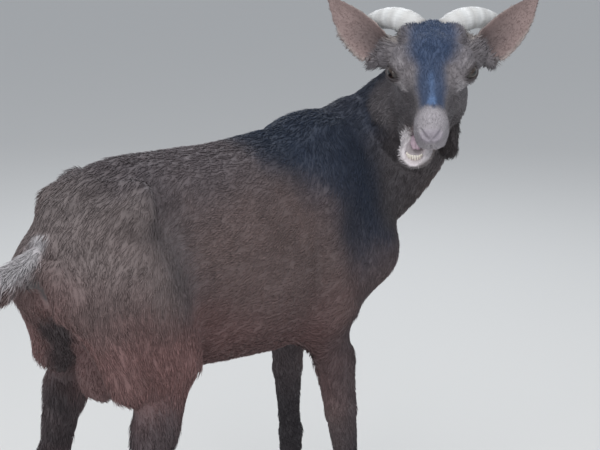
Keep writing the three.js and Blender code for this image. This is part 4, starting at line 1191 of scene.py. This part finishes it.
# Painted highlight along the bridge of the nose.
headMiddlePaint = [("bridgeHighlight", [(98, 2, 4), (124, 1, -7), (146, 0, -20)], 2.5, 6, 0.75),
                   ("nose", [(184, -7, -44), (184, 7, -44)], 6, 5, 0.9),
                   ("blaze", [(152, 3, -22), (154, 3, -23)], 1.2, 2.5, 0.8)]
jawPaint = [("lip", [(124, 18, -63), (144, 15, -61), (158, 13, -60), (171, 0, -60)], 6.5, 4, 0.95),
            ("chin", [(150, 8, -84), (120, 14, -90)], 8, 12, 0.6)]


def cover(rgb, colour, weight):
    rgb += (colour - rgb) * weight[:, None]


def paintOver(rgb, p, strokes, sides):
    for colour, points, half, fade, strength in strokes:
        for side in sides:
            weight = strength * (1 - smoothStep(half, half + fade, alongLine(p, both(points, side))))
            cover(rgb, paint[colour], weight)


def mouthLining(q, jawQ):
    # Colours inside the mouth, darkened with painted shade deeper in, and how much of them shows.
    wall = smoothStep(2.2, 0.6, np.abs(mouthDistance(q))) * smoothStep(100, 112, q[:, 0])
    low = smoothStep(1, -2, jawQ[:, 2] + 60) * smoothStep(118, 134, jawQ[:, 0])
    roof = smoothStep(-2, 2, q[:, 2] + 66)[:, None]
    lining = paint["mouth"] * (1 - roof) + paint["palate"] * roof
    cover(lining, paint["lip"], low * 0.8)
    # Painted shade: the lining darkens deeper into the mouth.
    deep = 0.35 + 0.65 * smoothStep(106, 136, q[:, 0])
    return lining * deep[:, None], wall


def faceColour(q, wandered):
    face = np.tile(paint["cheek"], (len(q), 1))
    paintOver(face, wandered, headPaint, (-1, 1))
    paintOver(face, wandered, headMiddlePaint, (1,))
    for side in (-1, 1):
        local = eyeLocal(q, side)
        near = smoothStep(17.5, 14.5, np.linalg.norm(local, axis=1)) * smoothStep(-2, 3, local[:, 2])
        cover(face, paint["lid"], near * smoothStep(1.5, 1.12, lidRing(local)))
    jawQ = intoJaw(q)
    paintOver(face, jawQ, jawPaint, (-1, 1))
    cover(face, *mouthLining(q, jawQ))
    return face


def earColour(p, n, side):
    t, s, _ = earPlace(p, side)
    inside = smoothStep(-0.1, 0.35, n @ earAxes(side)[2])
    own = paint["earBack"] * (1 - inside[:, None]) + paint["earInside"] * inside[:, None]
    rim = smoothStep(0.78, 0.97, np.abs(s) + 0.08 * latticeNoise(p, 5, 9)) * (0.4 + 0.6 * inside)
    cover(own, paint["earRim"], rim * 0.75)
    # Painted shade in the ear's hollow, darker towards the root and the middle.
    shade = smoothStep(0.75, 0.08, t) * inside * smoothStep(0.85, 0.2, np.abs(s))
    cover(own, paint["earHollowShade"], 0.9 * shade)
    return own


def coatColour(p, n):
    # Ragged edges come from moving the places that are looked up.
    wander = np.stack([latticeNoise(p, 34, k) + 0.5 * latticeNoise(p, 13, k + 5) - 0.75
                       for k in (1, 2, 3)], 1)
    q = intoHead(p)
    rgb = np.tile(paint["brown"], (len(p), 1))
    paintOver(rgb, p + wander * 20, bodyPaint, (-1, 1))
    paintOver(rgb, p + wander * 20, neckPaint, (1,))
    paintOver(rgb, p, edgePaint, (-1, 1))
    wandered = q + wander * 4
    cover(rgb, faceColour(q, wandered), headShare(wandered))
    for side in (-1, 1):
        cover(rgb, earColour(p, n, side), np.where(q[:, 1] * side > 0, earShare(p), 0))
        line = wattleLine(side)
        hang = 1 - smoothStep(12, 17, alongLine(p, line))
        cover(rgb, paint["wattle"], hang * (p[:, 2] < line[0][2] - 6))
    broad = latticeNoise(p, 60, 11) * 0.6 + latticeNoise(p, 22, 12) * 0.4
    return np.clip(rgb * (0.80 + 0.40 * broad)[:, None], 0, 1)


def bareSkin(p):
    # Where no hair grows: nose pad, lips, mouth, lid rims and the panel below the tail.
    q = intoHead(p)
    bare = 1 - smoothStep(6, 9, alongLine(q, [(185, -8, -43), (185, 8, -43)]))
    bare = np.maximum(bare, smoothStep(2.5, 1.0, np.abs(mouthDistance(q))) * (q[:, 0] > 104))
    jawQ = intoJaw(q)
    for side in (-1, 1):
        local = eyeLocal(q, side)
        lid = smoothStep(1.35, 1.15, lidRing(local)) * (local[:, 2] > 3)
        bare = np.maximum(bare, lid * (np.linalg.norm(local, axis=1) < 16))
        bare = np.maximum(bare, 1 - smoothStep(2.5, 4.5, alongLine(jawQ, both(
            [(140, 15, -60), (158, 13, -59), (171, 0, -60)], side))))
    panel = alongLine(p, [(-288, 0, 606), (-284, 0, 580), (-262, 0, 540)])
    return np.maximum(bare, 1 - smoothStep(10, 15, panel))


def finishSkin(made):
    mesh = made.data
    co, n = toOwn(coordinates(mesh)), vertexNormals(mesh)
    bare = bareSkin(co)
    rgb = coatColour(co, n) * (0.86 + 0.14 * bare)[:, None]
    addColour(mesh, "coat", rgb)
    addNumber(mesh, "bare", bare)
    shader = Shader("hide")
    place, colour, bareness = shader.place(), shader.attribute("coat"), shader.attribute("bare", "Fac")
    grain = shader.noise(place, 620, 4, 0.62)
    cell = shader.node("ShaderNodeTexVoronoi", {"feature": "F1"}, {"Vector": place, "Scale": 900.0})[0]
    shade = 0.72 + grain * 0.56
    shaded = shader.node("ShaderNodeVectorMath", {"operation": "SCALE"}, {0: colour, "Scale": shade})[0]
    shader.feed(Base_Color=shaded, Roughness=0.74 - bareness * 0.30,
                Normal=shader.bump(grain + cell * bareness * 0.5, 0.55, 0.0012))
    mesh.materials.clear()
    mesh.materials.append(shader.material)
    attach(made, "root")
    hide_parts(*[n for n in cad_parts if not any(
        word in n for word in ("horn", "claw", "tongue", "teeth", "eye"))])
    return co, n


# The coat of tufts.

tufts = {
    "limit": 19400,         # in one piece
    "most": 128000,
    "quickShare": 0.3,
    # Least and greatest share of a region's own number that a tuft gets.
    "lengths": (0.65, 1.25), "widths": (0.7, 1.3), "lifts": (0.5, 1.6),
    "bend": 0.10, "sunk": 0.7,
    "tones": (0.80, 0.97, 1.12),   # from root to tip
    "strand": 0.10,
}
# Region, points along it, reach; then spacing, length and width in mm, lift in degrees, wildness.
coatKinds = [
    ("trunk", [(200, 60, 600), (0, 70, 580), (-140, 60, 590)], 90, (2.9, 11, 1.45, 6, 0.10)),
    ("back", [(180, 0, 710), (0, 0, 714), (-200, 0, 716)], 26, (2.8, 12, 1.45, 8, 0.12)),
    ("belly", [(120, 50, 430), (-130, 80, 455)], 30, (2.9, 12, 1.5, 9, 0.16)),
    ("hip", [(-190, 60, 680), (-262, 40, 630)], 36, (2.8, 10.5, 1.45, 7, 0.12)),
    ("thigh", [(-245, 74, 560), (-225, 92, 490), (-215, 86, 410)], 44, (2.8, 14, 1.35, 6.5, 0.15)),
    ("shank", [(-225, 82, 380), (-254, 82, 270)], 26, (2.5, 10, 1.4, 8, 0.13)),
    ("shoulder", [(150, 50, 680), (200, 80, 560), (160, 84, 480)], 44, (2.8, 11, 1.4, 6, 0.10)),
    ("arm", [(170, 78, 420), (190, 78, 280)], 34, (2.5, 9, 1.4, 7, 0.11)),
    ("cannon", [(190, 78, 230), (190, 78, 130)], 26, (2.2, 7, 1.2, 7, 0.11)),
    ("cannon", [(-256, 80, 240), (-244, 80, 130)], 26, (2.2, 7, 1.2, 7, 0.11)),
    ("foot", [(192, 78, 108), (206, 78, 68)], 22, (2.1, 7.5, 1.2, 11, 0.18)),
    ("foot", [(-244, 80, 108), (-228, 80, 68)], 22, (2.1, 7.5, 1.2, 11, 0.18)),
    ("chest", [(262, 0, 560), (236, 0, 470)], 36, (2.8, 13, 1.5, 9, 0.16)),
]
middleKinds = [
    ("neck", [(228, -130, 780), (256, -80, 700), (262, -40, 620)], 60, (2.7, 11, 1.4, 7, 0.12)),
    ("tail", [(-296, 0, 624), (-340, 4, 606), (-402, 11, 556)], 20, (2.1, 14, 1.4, 11, 0.22)),
    ("scrotum", [(-206, 0, 500), (-206, 0, 450)], 28, (2.6, 6, 1.1, 9, 0.15)),
]
headKinds = [
    ("cheek", [(70, 40, -50), (40, 36, -70)], 30, (2.1, 6.5, 1.1, 7, 0.11)),
    ("throat", [(110, 10, -90), (50, 20, -106), (10, 20, -110)], 22, (2.3, 9, 1.2, 9, 0.16)),
    ("brow", [(90, 36, 0), (60, 40, 0)], 12, (1.8, 5, 0.9, 8, 0.14)),
    ("muzzle", [(130, 20, -46), (176, 14, -46)], 16, (1.6, 3.4, 0.7, 9, 0.18)),
    ("nose", [(100, 8, 2), (170, 4, -32)], 16, (1.7, 4.2, 0.8, 5, 0.09)),
    ("forehead", [(84, 0, 10), (50, 0, 18)], 22, (1.9, 6.5, 1.0, 6, 0.10)),
    ("poll", [(20, 10, 12), (-10, 14, 4), (-20, 0, 0)], 16, (2.0, 8, 1.1, 9, 0.14)),
    ("behindHorn", [(2, 46, -10), (10, 48, -22)], 12, (2.0, 10, 1.1, 16, 0.26)),
    ("chin", [(150, 8, -88), (120, 12, -90)], 12, (1.8, 4.2, 0.9, 8, 0.14)),
]


earKind, earEdgeKind, wattleKind = (2.1, 3.4, 0.7, 5, 0.12), (1.6, 4.6, 0.7, 7, 0.2), (2.0, 8, 1.1, 10, 0.2)


def coatNature(p):
    # Blends the regions' numbers by nearness.
    total = np.full(len(p), 1e-4)
    values = np.tile(np.array(coatKinds[0][3], float) * 1e-4, (len(p), 1))
    q = intoHead(p)
    headNear = headReach(q, 80) < 150
    bodyNear = ~headNear | (q[:, 0] < 0)
    for kinds, sides, local, near in ((coatKinds, (-1, 1), p, bodyNear), (middleKinds, (1,), p, None),
                                      (headKinds, (-1, 1), q, headNear)):
        for _, points, reach, numbers in kinds:
            for side in sides:
                weight = np.exp(-(alongLine(local, both(points, side)) / reach)**2 * 2.0)
                if near is not None:
                    weight = weight * near
                total += weight
                values += weight[:, None] * np.array(numbers, float)
    values /= total[:, None]
    ears = inEar(p)
    values[ears] = earKind
    for side in (-1, 1):
        _, s, _ = earPlace(p, side)
        values[ears & (np.abs(s) > 0.8) & (q[:, 1] * side > 0)] = earEdgeKind
        line = wattleLine(side)
        values[(alongLine(p, line) < 14) & (p[:, 2] < line[0][2] - 4)] = wattleKind
    return values


def regionNames(p):
    # Which piece of coat each tuft belongs to.
    q = intoHead(p)
    right = p[:, 1] < 0
    names = np.full(len(p), "flank", dtype="<U16")
    names[p[:, 0] > 60] = "shoulder"
    names[p[:, 0] < -130] = "haunch"
    names[(p[:, 2] < 452) & (p[:, 0] > 40)] = "foreleg"
    names[(p[:, 2] < 452) & (p[:, 0] < -100)] = "hindleg"
    neckPart = neckDistance(p) - 4 < trunkDistance(p)
    names[neckPart & (p[:, 2] > 520) & (p[:, 0] > 100)] = "neck"
    onHead = (headReach(q, z=-45) < head["reach"]) & (q[:, 0] > -26)
    names[onHead | inEar(p)] = "head"
    names[(p[:, 0] < -306) & (p[:, 2] > 500)] = "tail"
    sided = np.isin(names, ["flank", "shoulder", "haunch", "foreleg", "hindleg"])
    sides = np.where(right, "right_", "left_").astype("<U6")
    return np.where(sided, np.char.add(sides, names), names)


def lockShape():
    # One lock: a three-sided blade with a bend at its middle, from z = 0 at the root to 1 at the tip.
    bm = bmesh.new()
    bmesh.ops.create_cone(bm, cap_ends=True, segments=3, radius1=0.5, radius2=0.42, depth=0.5,
                          matrix=Matrix.Translation((0, 0, 0.25)))
    bm.faces.ensure_lookup_table()
    top = [f for f in bm.faces if f.calc_center_median().z > 0.49]
    bmesh.ops.poke(bm, faces=top, offset=0.5)
    bmesh.ops.triangulate(bm, faces=bm.faces)
    bm.verts.index_update()
    points = np.array([v.co for v in bm.verts])
    faces = np.array([[v.index for v in f.verts] for f in bm.faces])
    bm.free()
    return points, faces


def scatterRoots(made):
    # Points spread over the skin, closer where the coat is finer.
    mesh = made.data
    mesh.calc_loop_triangles()
    tri = np.empty(len(mesh.loop_triangles) * 3, np.int32)
    mesh.loop_triangles.foreach_get("vertices", tri)
    tri = tri.reshape(-1, 3)
    co, n = toOwn(coordinates(mesh)), vertexNormals(mesh)
    a, b, c = (co[tri[:, k]] for k in range(3))
    area = np.linalg.norm(np.cross(b - a, c - a), axis=1) / 2
    middle = (a + b + c) / 3
    spacing = coatNature(middle)[:, 0]
    chance = area / spacing**2 * (1 - bareSkin(middle) > 0.5)
    kept = 1.0
    want = chance.sum() * kept
    share = min(1.0, tufts["most"] / want)
    count = rng.poisson(chance * share * kept)
    pick = np.repeat(np.arange(len(tri)), count)
    u, v = rng.random(len(pick)), rng.random(len(pick))
    flip = u + v > 1
    u[flip], v[flip] = 1 - u[flip], 1 - v[flip]
    w = 1 - u - v
    points = a[pick] * w[:, None] + b[pick] * u[:, None] + c[pick] * v[:, None]
    nA, nB, nC = (n[tri[pick, k]] for k in range(3))
    return points, unit(nA * w[:, None] + nB * u[:, None] + nC * v[:, None]), want


def unwrapRoots(p, n):
    # Six flat charts by the side that the skin faces, packed in shelves inside the unit square.
    axis = np.argmax(np.abs(n), axis=1)
    facing = axis * 2 + (np.take_along_axis(n, axis[:, None], 1)[:, 0] > 0)
    charts = []
    for side in range(6):
        own = np.nonzero(facing == side)[0]
        if len(own):
            flat = np.delete(p[own], side // 2, axis=1)
            low = flat.min(0)
            charts.append((own, flat - low, flat.max(0) - low))
    charts.sort(key=lambda chart: -chart[2][1])
    scale = 1.0 / max(max(size.max() for _, _, size in charts), 1)
    margin = 0.012
    while True:
        x, y, tall, fits, spots = margin, margin, 0.0, True, []
        for _, _, size in charts:
            w, h = size * scale
            if x + w + margin > 1:
                x, y, tall = margin, y + tall + margin, 0.0
            fits &= x + w + margin <= 1 and y + h + margin <= 1
            spots.append((x, y))
            x, tall = x + w + margin, max(tall, h)
        if fits:
            break
        scale *= 0.96
    uv = np.zeros((len(p), 2))
    for (own, flat, _), spot in zip(charts, spots):
        uv[own] = flat * scale + spot
    return uv


def tuftMesh(name, p, n, lie, nature, rgb, shape):
    points, faces = shape
    count, corners = len(p), len(points)
    length = nature[:, 1] * rng.uniform(*tufts["lengths"], count)
    width = nature[:, 2] * rng.uniform(*tufts["widths"], count)
    lift = np.radians(nature[:, 3] * rng.uniform(*tufts["lifts"], count))
    across = np.cross(n, lie)
    x, y, z = points.T
    body = x * (z < 0.9)
    thick = y * 0.42 + 0.18
    rise = np.where(z < 0.1, 0.0, np.where(z < 0.9, 0.62, 1.0))
    bend = rng.normal(0, tufts["bend"], count)
    at = (p[:, None, :]
          + lie[:, None, :] * (length[:, None] * np.cos(lift)[:, None] * z)[:, :, None]
          + n[:, None, :] * (length[:, None] * np.sin(lift)[:, None] * rise - tufts["sunk"] * (z < 0.1)
                             + width[:, None] * thick * (z < 0.9))[:, :, None]
          + across[:, None, :] * (width[:, None] * body + (length * bend)[:, None] * z**2)[:, :, None])
    mesh = bpy.data.meshes.new(name)
    mesh.vertices.add(count * corners)
    mesh.vertices.foreach_set("co", toMetres(at.reshape(-1, 3)).astype(np.float32).ravel())
    index = (faces[None] + (np.arange(count) * corners)[:, None, None]).reshape(-1)
    mesh.loops.add(len(index))
    mesh.loops.foreach_set("vertex_index", index.astype(np.int32))
    mesh.polygons.add(len(index) // 3)
    mesh.polygons.foreach_set("loop_start", np.arange(0, len(index), 3, dtype=np.int32))
    mesh.update(calc_edges=True)
    tone = np.interp(z, [0, 0.5, 1.0], tufts["tones"])
    strand = np.clip(rng.normal(1.0, tufts["strand"], count), 0.7, 1.4)
    shaded = np.clip(rgb[:, None, :] * (strand[:, None] * tone)[:, :, None], 0, 1)
    addColour(mesh, "coat", shaded.reshape(-1, 3))
    uv = unwrapRoots(p, n)[:, None, :] + np.stack([x, z - 0.5], 1)[None] * 0.003
    layer = mesh.uv_layers.new(name="OFBake")
    layer.data.foreach_set("uv", uv.reshape(-1, 2)[index].astype(np.float32).ravel())
    return mesh


def makeCoat(made, material):
    p, n, want = scatterRoots(made)
    nature = coatNature(p)
    lie = hairLie(p, n)
    swirl = (latticeNoise(p, 38, 21) - 0.5) * 0.9 + (latticeNoise(p, 14, 22) - 0.5) * 0.8
    turn = swirl * nature[:, 4] * 3.2 + rng.normal(0, 1, len(p)) * nature[:, 4] * 0.8
    lie = unit(lie * np.cos(turn)[:, None] + np.cross(n, lie) * np.sin(turn)[:, None])
    rgb = coatColour(p, n)
    streak = np.exp(-((latticeNoise(p, 9, 31) - 0.5) / 0.5)**2)
    longHair = smoothStep(15, 22, nature[:, 1])
    pale = (rng.random(len(p)) < 0.10 * longHair)[:, None]
    rgb = np.where(pale, rgb + (paint["streak"] - rgb) * 0.55, rgb) * (0.82 + 0.2 * streak)[:, None]
    names = regionNames(p)
    shape = lockShape()
    tell(f"{len(p)} tufts of {want:.0f} wanted")
    for region in sorted(set(names.tolist())):
        own = np.nonzero(names == region)[0]
        parts = math.ceil(len(own) / tufts["limit"])
        order = np.argsort(p[own, 2], kind="stable")
        for k, chunk in enumerate(np.array_split(own[order], parts)):
            label = f"coat_{region}" + (f"_{k + 1}" if parts > 1 else "")
            mesh = tuftMesh(label, p[chunk], n[chunk], lie[chunk], nature[chunk], rgb[chunk], shape)
            piece = objectFrom(mesh, label)
            shadeSmooth(piece)
            mesh.materials.append(material)
            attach(piece, "root")
            print(f"  {label}: {len(chunk)} tufts")


def hairMaterial():
    shader = Shader("shortHair")
    shader.feed(Base_Color=shader.attribute("coat"), Roughness=0.55)
    shader.surface.inputs["Specular IOR Level"].default_value = 0.35
    return shader.material


# Eyes.

eyeLook = {"ball": 11.7, "corneaRadius": 8.6, "corneaOut": 4.6, "pupil": (5.0, 1.9)}


def eyeMaterial(name):
    shader = Shader(name)
    gaze = shader.attribute("gaze", "Vector")
    x, y, _ = shader.parts(gaze)
    outward = (x * x + y * y) ** 0.5
    pupilX, pupilY = eyeLook["pupil"]
    slot = ((x / pupilX) ** 4.0 + (y / pupilY) ** 4.0) ** 0.25

    def step(value, low, high):
        return shader.mapped(value, low, high, interpolation_type="SMOOTHSTEP")

    rays = shader.noise(gaze, 0.9, 4)
    iris = shader.blend(rays, tint(28, 20, 16), tint(58, 39, 28))
    iris = shader.blend(step(outward, 4.6, 8.0), iris, tint(18, 11, 9))
    iris = shader.blend(step(slot, 1.18, 0.92), iris, tint(5, 4, 6))
    white = shader.blend(step(outward, 7.8, 8.8), iris, tint(40, 31, 29))
    shader.feed(Base_Color=white, Roughness=0.16)
    shader.surface.inputs["Coat Weight"].default_value = 0.6
    shader.surface.inputs["Coat Roughness"].default_value = 0.03
    return shader.material


def makeEye(name, side):
    bm = bmesh.new()
    bmesh.ops.create_uvsphere(bm, u_segments=40, v_segments=28, radius=eyeLook["ball"])
    for v in bm.verts:
        way = v.co.normalized()
        out = eyeLook["corneaOut"] * way.z    # reach of the cornea's own, smaller sphere
        inside = eyeLook["corneaRadius"]**2 - eyeLook["corneaOut"]**2 + out**2
        if way.z > 0 and inside > 0:
            v.co = way * max(eyeLook["ball"], out + math.sqrt(inside))
    local = np.array([v.co for v in bm.verts])
    axes = eyeAxes(side)
    own = fromHead(np.array(head["eyeAt"]) * (1, side, 1) + local @ axes.T)
    made = objectFrom(bm, name)
    setCoordinates(made.data, toMetres(own))
    turnOut(made.data)
    addVector(made.data, "gaze", local)
    shadeSmooth(made)
    made.data.materials.append(eyeMaterial(name + "Shine"))
    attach(made, "root")
    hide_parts(name)


# Horns.

hornLook = {
    "path": np.array([(16, 13, -5), (1, 29, 4), (-15, 48, 3), (-31, 67, -7), (-44, 82, -21)], float),
    "root": 18.2, "tip": 10.4, "flat": 0.88, "rings": 11, "swell": 0.055, "rows": 90, "around": 36,
    "roundFrom": 0.86,      # how far along the tip starts to close
}


def hornMaterial(name):
    shader = Shader(name)
    grown = shader.attribute("grown", "Vector")
    x, y, z = shader.parts(grown)
    stretched = shader.vector(x * 9.0, y * 9.0, z * 3.0)
    fibres = shader.noise(stretched, 3.0, 5)
    rings = shader.node("ShaderNodeTexWave", {"bands_direction": "Z"},
                        {"Vector": grown, "Scale": hornLook["rings"] / 6.3, "Distortion": 0.6, "Detail": 2.0,
                         "Detail Scale": 1.5})[1]
    colour = shader.blend(fibres, tint(168, 170, 172), tint(236, 238, 238))
    colour = shader.blend(rings * 0.26, colour, tint(126, 120, 114))
    root = shader.mapped(z, 0.28, 0.05)
    colour = shader.blend(root * 0.55, colour, tint(96, 88, 84))
    shader.feed(Base_Color=colour, Roughness=0.42 + fibres * 0.2,
                Normal=shader.bump(fibres + rings * 0.6, 0.35, 0.0012))
    return shader.material


def makeHorn(name, side):
    look = hornLook
    bm = bmesh.new()
    bmesh.ops.create_cone(bm, cap_ends=True, segments=look["around"], radius1=1, radius2=1, depth=1,
                          matrix=Matrix.Translation((0, 0, 0.5)))
    rails = [e for e in bm.edges if abs(e.verts[0].co.z - e.verts[1].co.z) > 0.5]
    bmesh.ops.subdivide_edges(bm, edges=rails, cuts=look["rows"])
    made = objectFrom(bm, name)
    local = coordinates(made.data)
    path = fromHead(look["path"] * (1, side, 1))
    hint = unit(np.array((1, 0, 0.4))) @ headTurned.T
    spots = np.unique(local[:, 2].round(5))
    new = np.empty_like(local)
    for t in spots:
        row = np.abs(local[:, 2] - t) < 1e-4
        at = curvePoint(path, t * 0.995)
        run = unit(curvePoint(path, min(t + 1e-3, 1)) - curvePoint(path, max(t - 1e-3, 0)))
        wide = unit(np.cross(hint, run))
        high = np.cross(run, wide)
        radius = look["root"] + (look["tip"] - look["root"]) * t**0.9
        ring = (t * look["rings"] + 0.12 * math.sin(9 * t)) % 1
        swell = look["swell"] * (1 - t * 0.6) * math.sin(math.pi * ring**0.6)
        past = max(t - look["roundFrom"], 0) / 0.145
        close = math.sqrt(max(1 - past**2, 0.02))
        angle = np.arctan2(local[row, 1], local[row, 0])
        around = np.stack([np.cos(angle) * 3, np.sin(angle) * 3, np.full(row.sum(), t * 26)], 1)
        wear = latticeNoise(around, 1.0, 17)
        r = radius * close * (0.955 + swell + 0.02 * (wear - 0.5))
        new[row] = (at + wide * (np.cos(angle) * r)[:, None]
                    + high * (np.sin(angle) * r * look["flat"])[:, None])
    setCoordinates(made.data, toMetres(new))
    turnOut(made.data)
    addVector(made.data, "grown", local)
    shadeSmooth(made)
    made.data.materials.append(hornMaterial(name + "Keratin"))
    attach(made, "root")
    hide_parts(name)


# Feet.

hoof = {"voxel": 0.0013, "ripple": 0.20, "ripples": 1.55, "grow": 0.35}


def makeFoot(name, material):
    # Both claws and the two dewclaws of one foot, smoothed, with growth rings round the wall.
    nodes = [f"{name}_{kind}_{place}" for kind in ("claw", "dewclaw") for place in ("inner", "outer")]
    joined = bmesh.new()
    for node in nodes:
        addPart(joined, mergedCopy(node))
    made = objectFrom(joined, name + "_hoof")
    mesh = applied(made, type="REMESH", mode="VOXEL", voxel_size=hoof["voxel"])
    made.data = mesh
    co, edges = coordinates(mesh) * 1000, meshEdges(mesh)
    sole = co[:, 2] < 1.0
    smooth = relax(co, edges, 10, 0.5)
    smooth[sole, 2] = 0.0
    wall = smoothStep(2, 8, smooth[:, 2])
    setCoordinates(mesh, smooth / 1000)
    n = vertexNormals(mesh)
    ripple = np.sin(smooth[:, 2] * hoof["ripples"] + 2.2 * latticeNoise(smooth, 14, 3))
    smooth += n * (ripple * hoof["ripple"] * wall * (np.abs(n[:, 2]) < 0.8) + hoof["grow"])[:, None]
    smooth[:, 2] = np.maximum(smooth[:, 2], 0.0)
    setCoordinates(mesh, smooth / 1000)
    shadeSmooth(made)
    mesh.materials.append(material)
    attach(made, "root")
    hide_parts(*nodes)


def hoofMaterial():
    shader = Shader("hoofHorn")
    place = shader.place()
    x, y, z = shader.parts(place)
    layered = shader.vector(x * 0.6, y * 0.6, z * 5.0)
    bands = shader.noise(layered, 90, 3)
    dust = shader.noise(place, 260, 4)
    colour = shader.blend(bands, tint(30, 27, 26), tint(74, 66, 60))
    low = shader.mapped(z, 0.016, 0.0)
    colour = shader.blend(low * dust * 0.8, colour, tint(118, 106, 92))
    shader.feed(Base_Color=colour, Roughness=0.45 + dust * 0.3,
                Normal=shader.bump(bands + dust * 0.4, 0.4, 0.001))
    return shader.material


# Mouth.

teeth = {
    "count": 8, "middle": (152, 0, -64.5), "reach": 9.8, "spread": 1.12,   # the row is an arc of a circle
    "tall": 8.2, "thick": 2.9, "base": -4, "bevel": 0.55,
}
tongueLook = {"voxel": 0.0009, "groove": -0.0009, "grooveHalf": 1.6, "mottle": 0.00035}


def makeTeeth():
    bm = bmesh.new()
    for i in range(teeth["count"]):
        along = -1 + (2 * i + 1) / teeth["count"]
        angle = along * teeth["spread"]
        wide = 2 * teeth["spread"] * teeth["reach"] / teeth["count"] * 0.93
        tall = teeth["tall"] * (1 - 0.18 * abs(along))
        made = bmesh.ops.create_cube(bm, size=1)["verts"]
        for v in made:
            top = v.co.z > 0
            v.co.x *= teeth["thick"] * (0.55 if top else 1.0)
            v.co.y *= wide * (1.0 if top else 0.72)
            v.co.z = teeth["base"] + tall if top else teeth["base"]
            v.co.x += 0.7 if top else 0
        bmesh.ops.rotate(bm, verts=made, cent=(0, 0, 0), matrix=Matrix.Rotation(angle, 3, "Z"))
        out = Vector((math.cos(angle), math.sin(angle), 0)) * teeth["reach"]
        bmesh.ops.translate(bm, verts=made, vec=Vector(teeth["middle"]) + out)
    bmesh.ops.bevel(bm, geom=bm.edges[:], offset=teeth["bevel"], affect="EDGES", segments=2, profile=0.5,
                    material=-1)
    bmesh.ops.subdivide_edges(bm, edges=bm.edges[:], cuts=1, use_grid_fill=True)
    for v in bm.verts:
        v.co = Vector(toMetres(fromJaw(np.array(v.co))))
    bmesh.ops.recalc_face_normals(bm, faces=bm.faces)
    made = objectFrom(bm, "incisors")
    shadeSmooth(made)
    shader = Shader("toothEnamel")
    stain = shader.noise(shader.place(), 300, 4)
    shader.feed(Base_Color=shader.blend(stain, tint(214, 206, 188), tint(240, 238, 232)),
                Roughness=0.24 + stain * 0.12)
    made.data.materials.append(shader.material)
    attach(made, "root")
    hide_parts("lower_teeth")


def makeTongue():
    made = objectFrom(mergedCopy("tongue"), "soft_tongue")
    mesh = applied(made, type="REMESH", mode="VOXEL", voxel_size=tongueLook["voxel"])
    made.data = mesh
    co, edges = coordinates(mesh), meshEdges(mesh)
    co = relax(co, edges, 12, 0.5)
    setCoordinates(mesh, co)
    q = intoJaw(intoHead(toOwn(co)))
    dent = tongueLook["groove"] * np.exp(-(q[:, 1] / tongueLook["grooveHalf"])**2)
    dent += tongueLook["mottle"] * (latticeNoise(q, 1.5, 5) - 0.5)
    setCoordinates(mesh, co + vertexNormals(mesh) * dent[:, None])
    shadeSmooth(made)
    shader = Shader("wetTongue")
    place = shader.place()
    buds = shader.node("ShaderNodeTexVoronoi", {"feature": "F1"}, {"Vector": place, "Scale": 1100.0})[0]
    mottle = shader.noise(place, 160, 3)
    shader.feed(Base_Color=shader.blend(mottle, tint(150, 128, 142), tint(186, 166, 178)), Roughness=0.32,
                Normal=shader.bump(buds, 0.5, 0.0006))
    shader.surface.inputs["Coat Weight"].default_value = 0.4
    made.data.materials.append(shader.material)
    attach(made, "root")
    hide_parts("tongue")


# Putting it together.

makeStudio()
skinPiece = makeSkin()
finishSkin(skinPiece)
tell("skin painted")
makeCoat(skinPiece, hairMaterial())
tell("coat made")
for sideName, sideSign in (("right", -1), ("left", 1)):
    makeEye(f"{sideName}_eye", sideSign)
    makeHorn(f"{sideName}_horn", sideSign)
hoofFinish = hoofMaterial()
for footName in ("right_fore", "right_hind", "left_fore", "left_hind"):
    makeFoot(footName, hoofFinish)
makeTeeth()
makeTongue()
tell("eyes, horns, feet and mouth made")
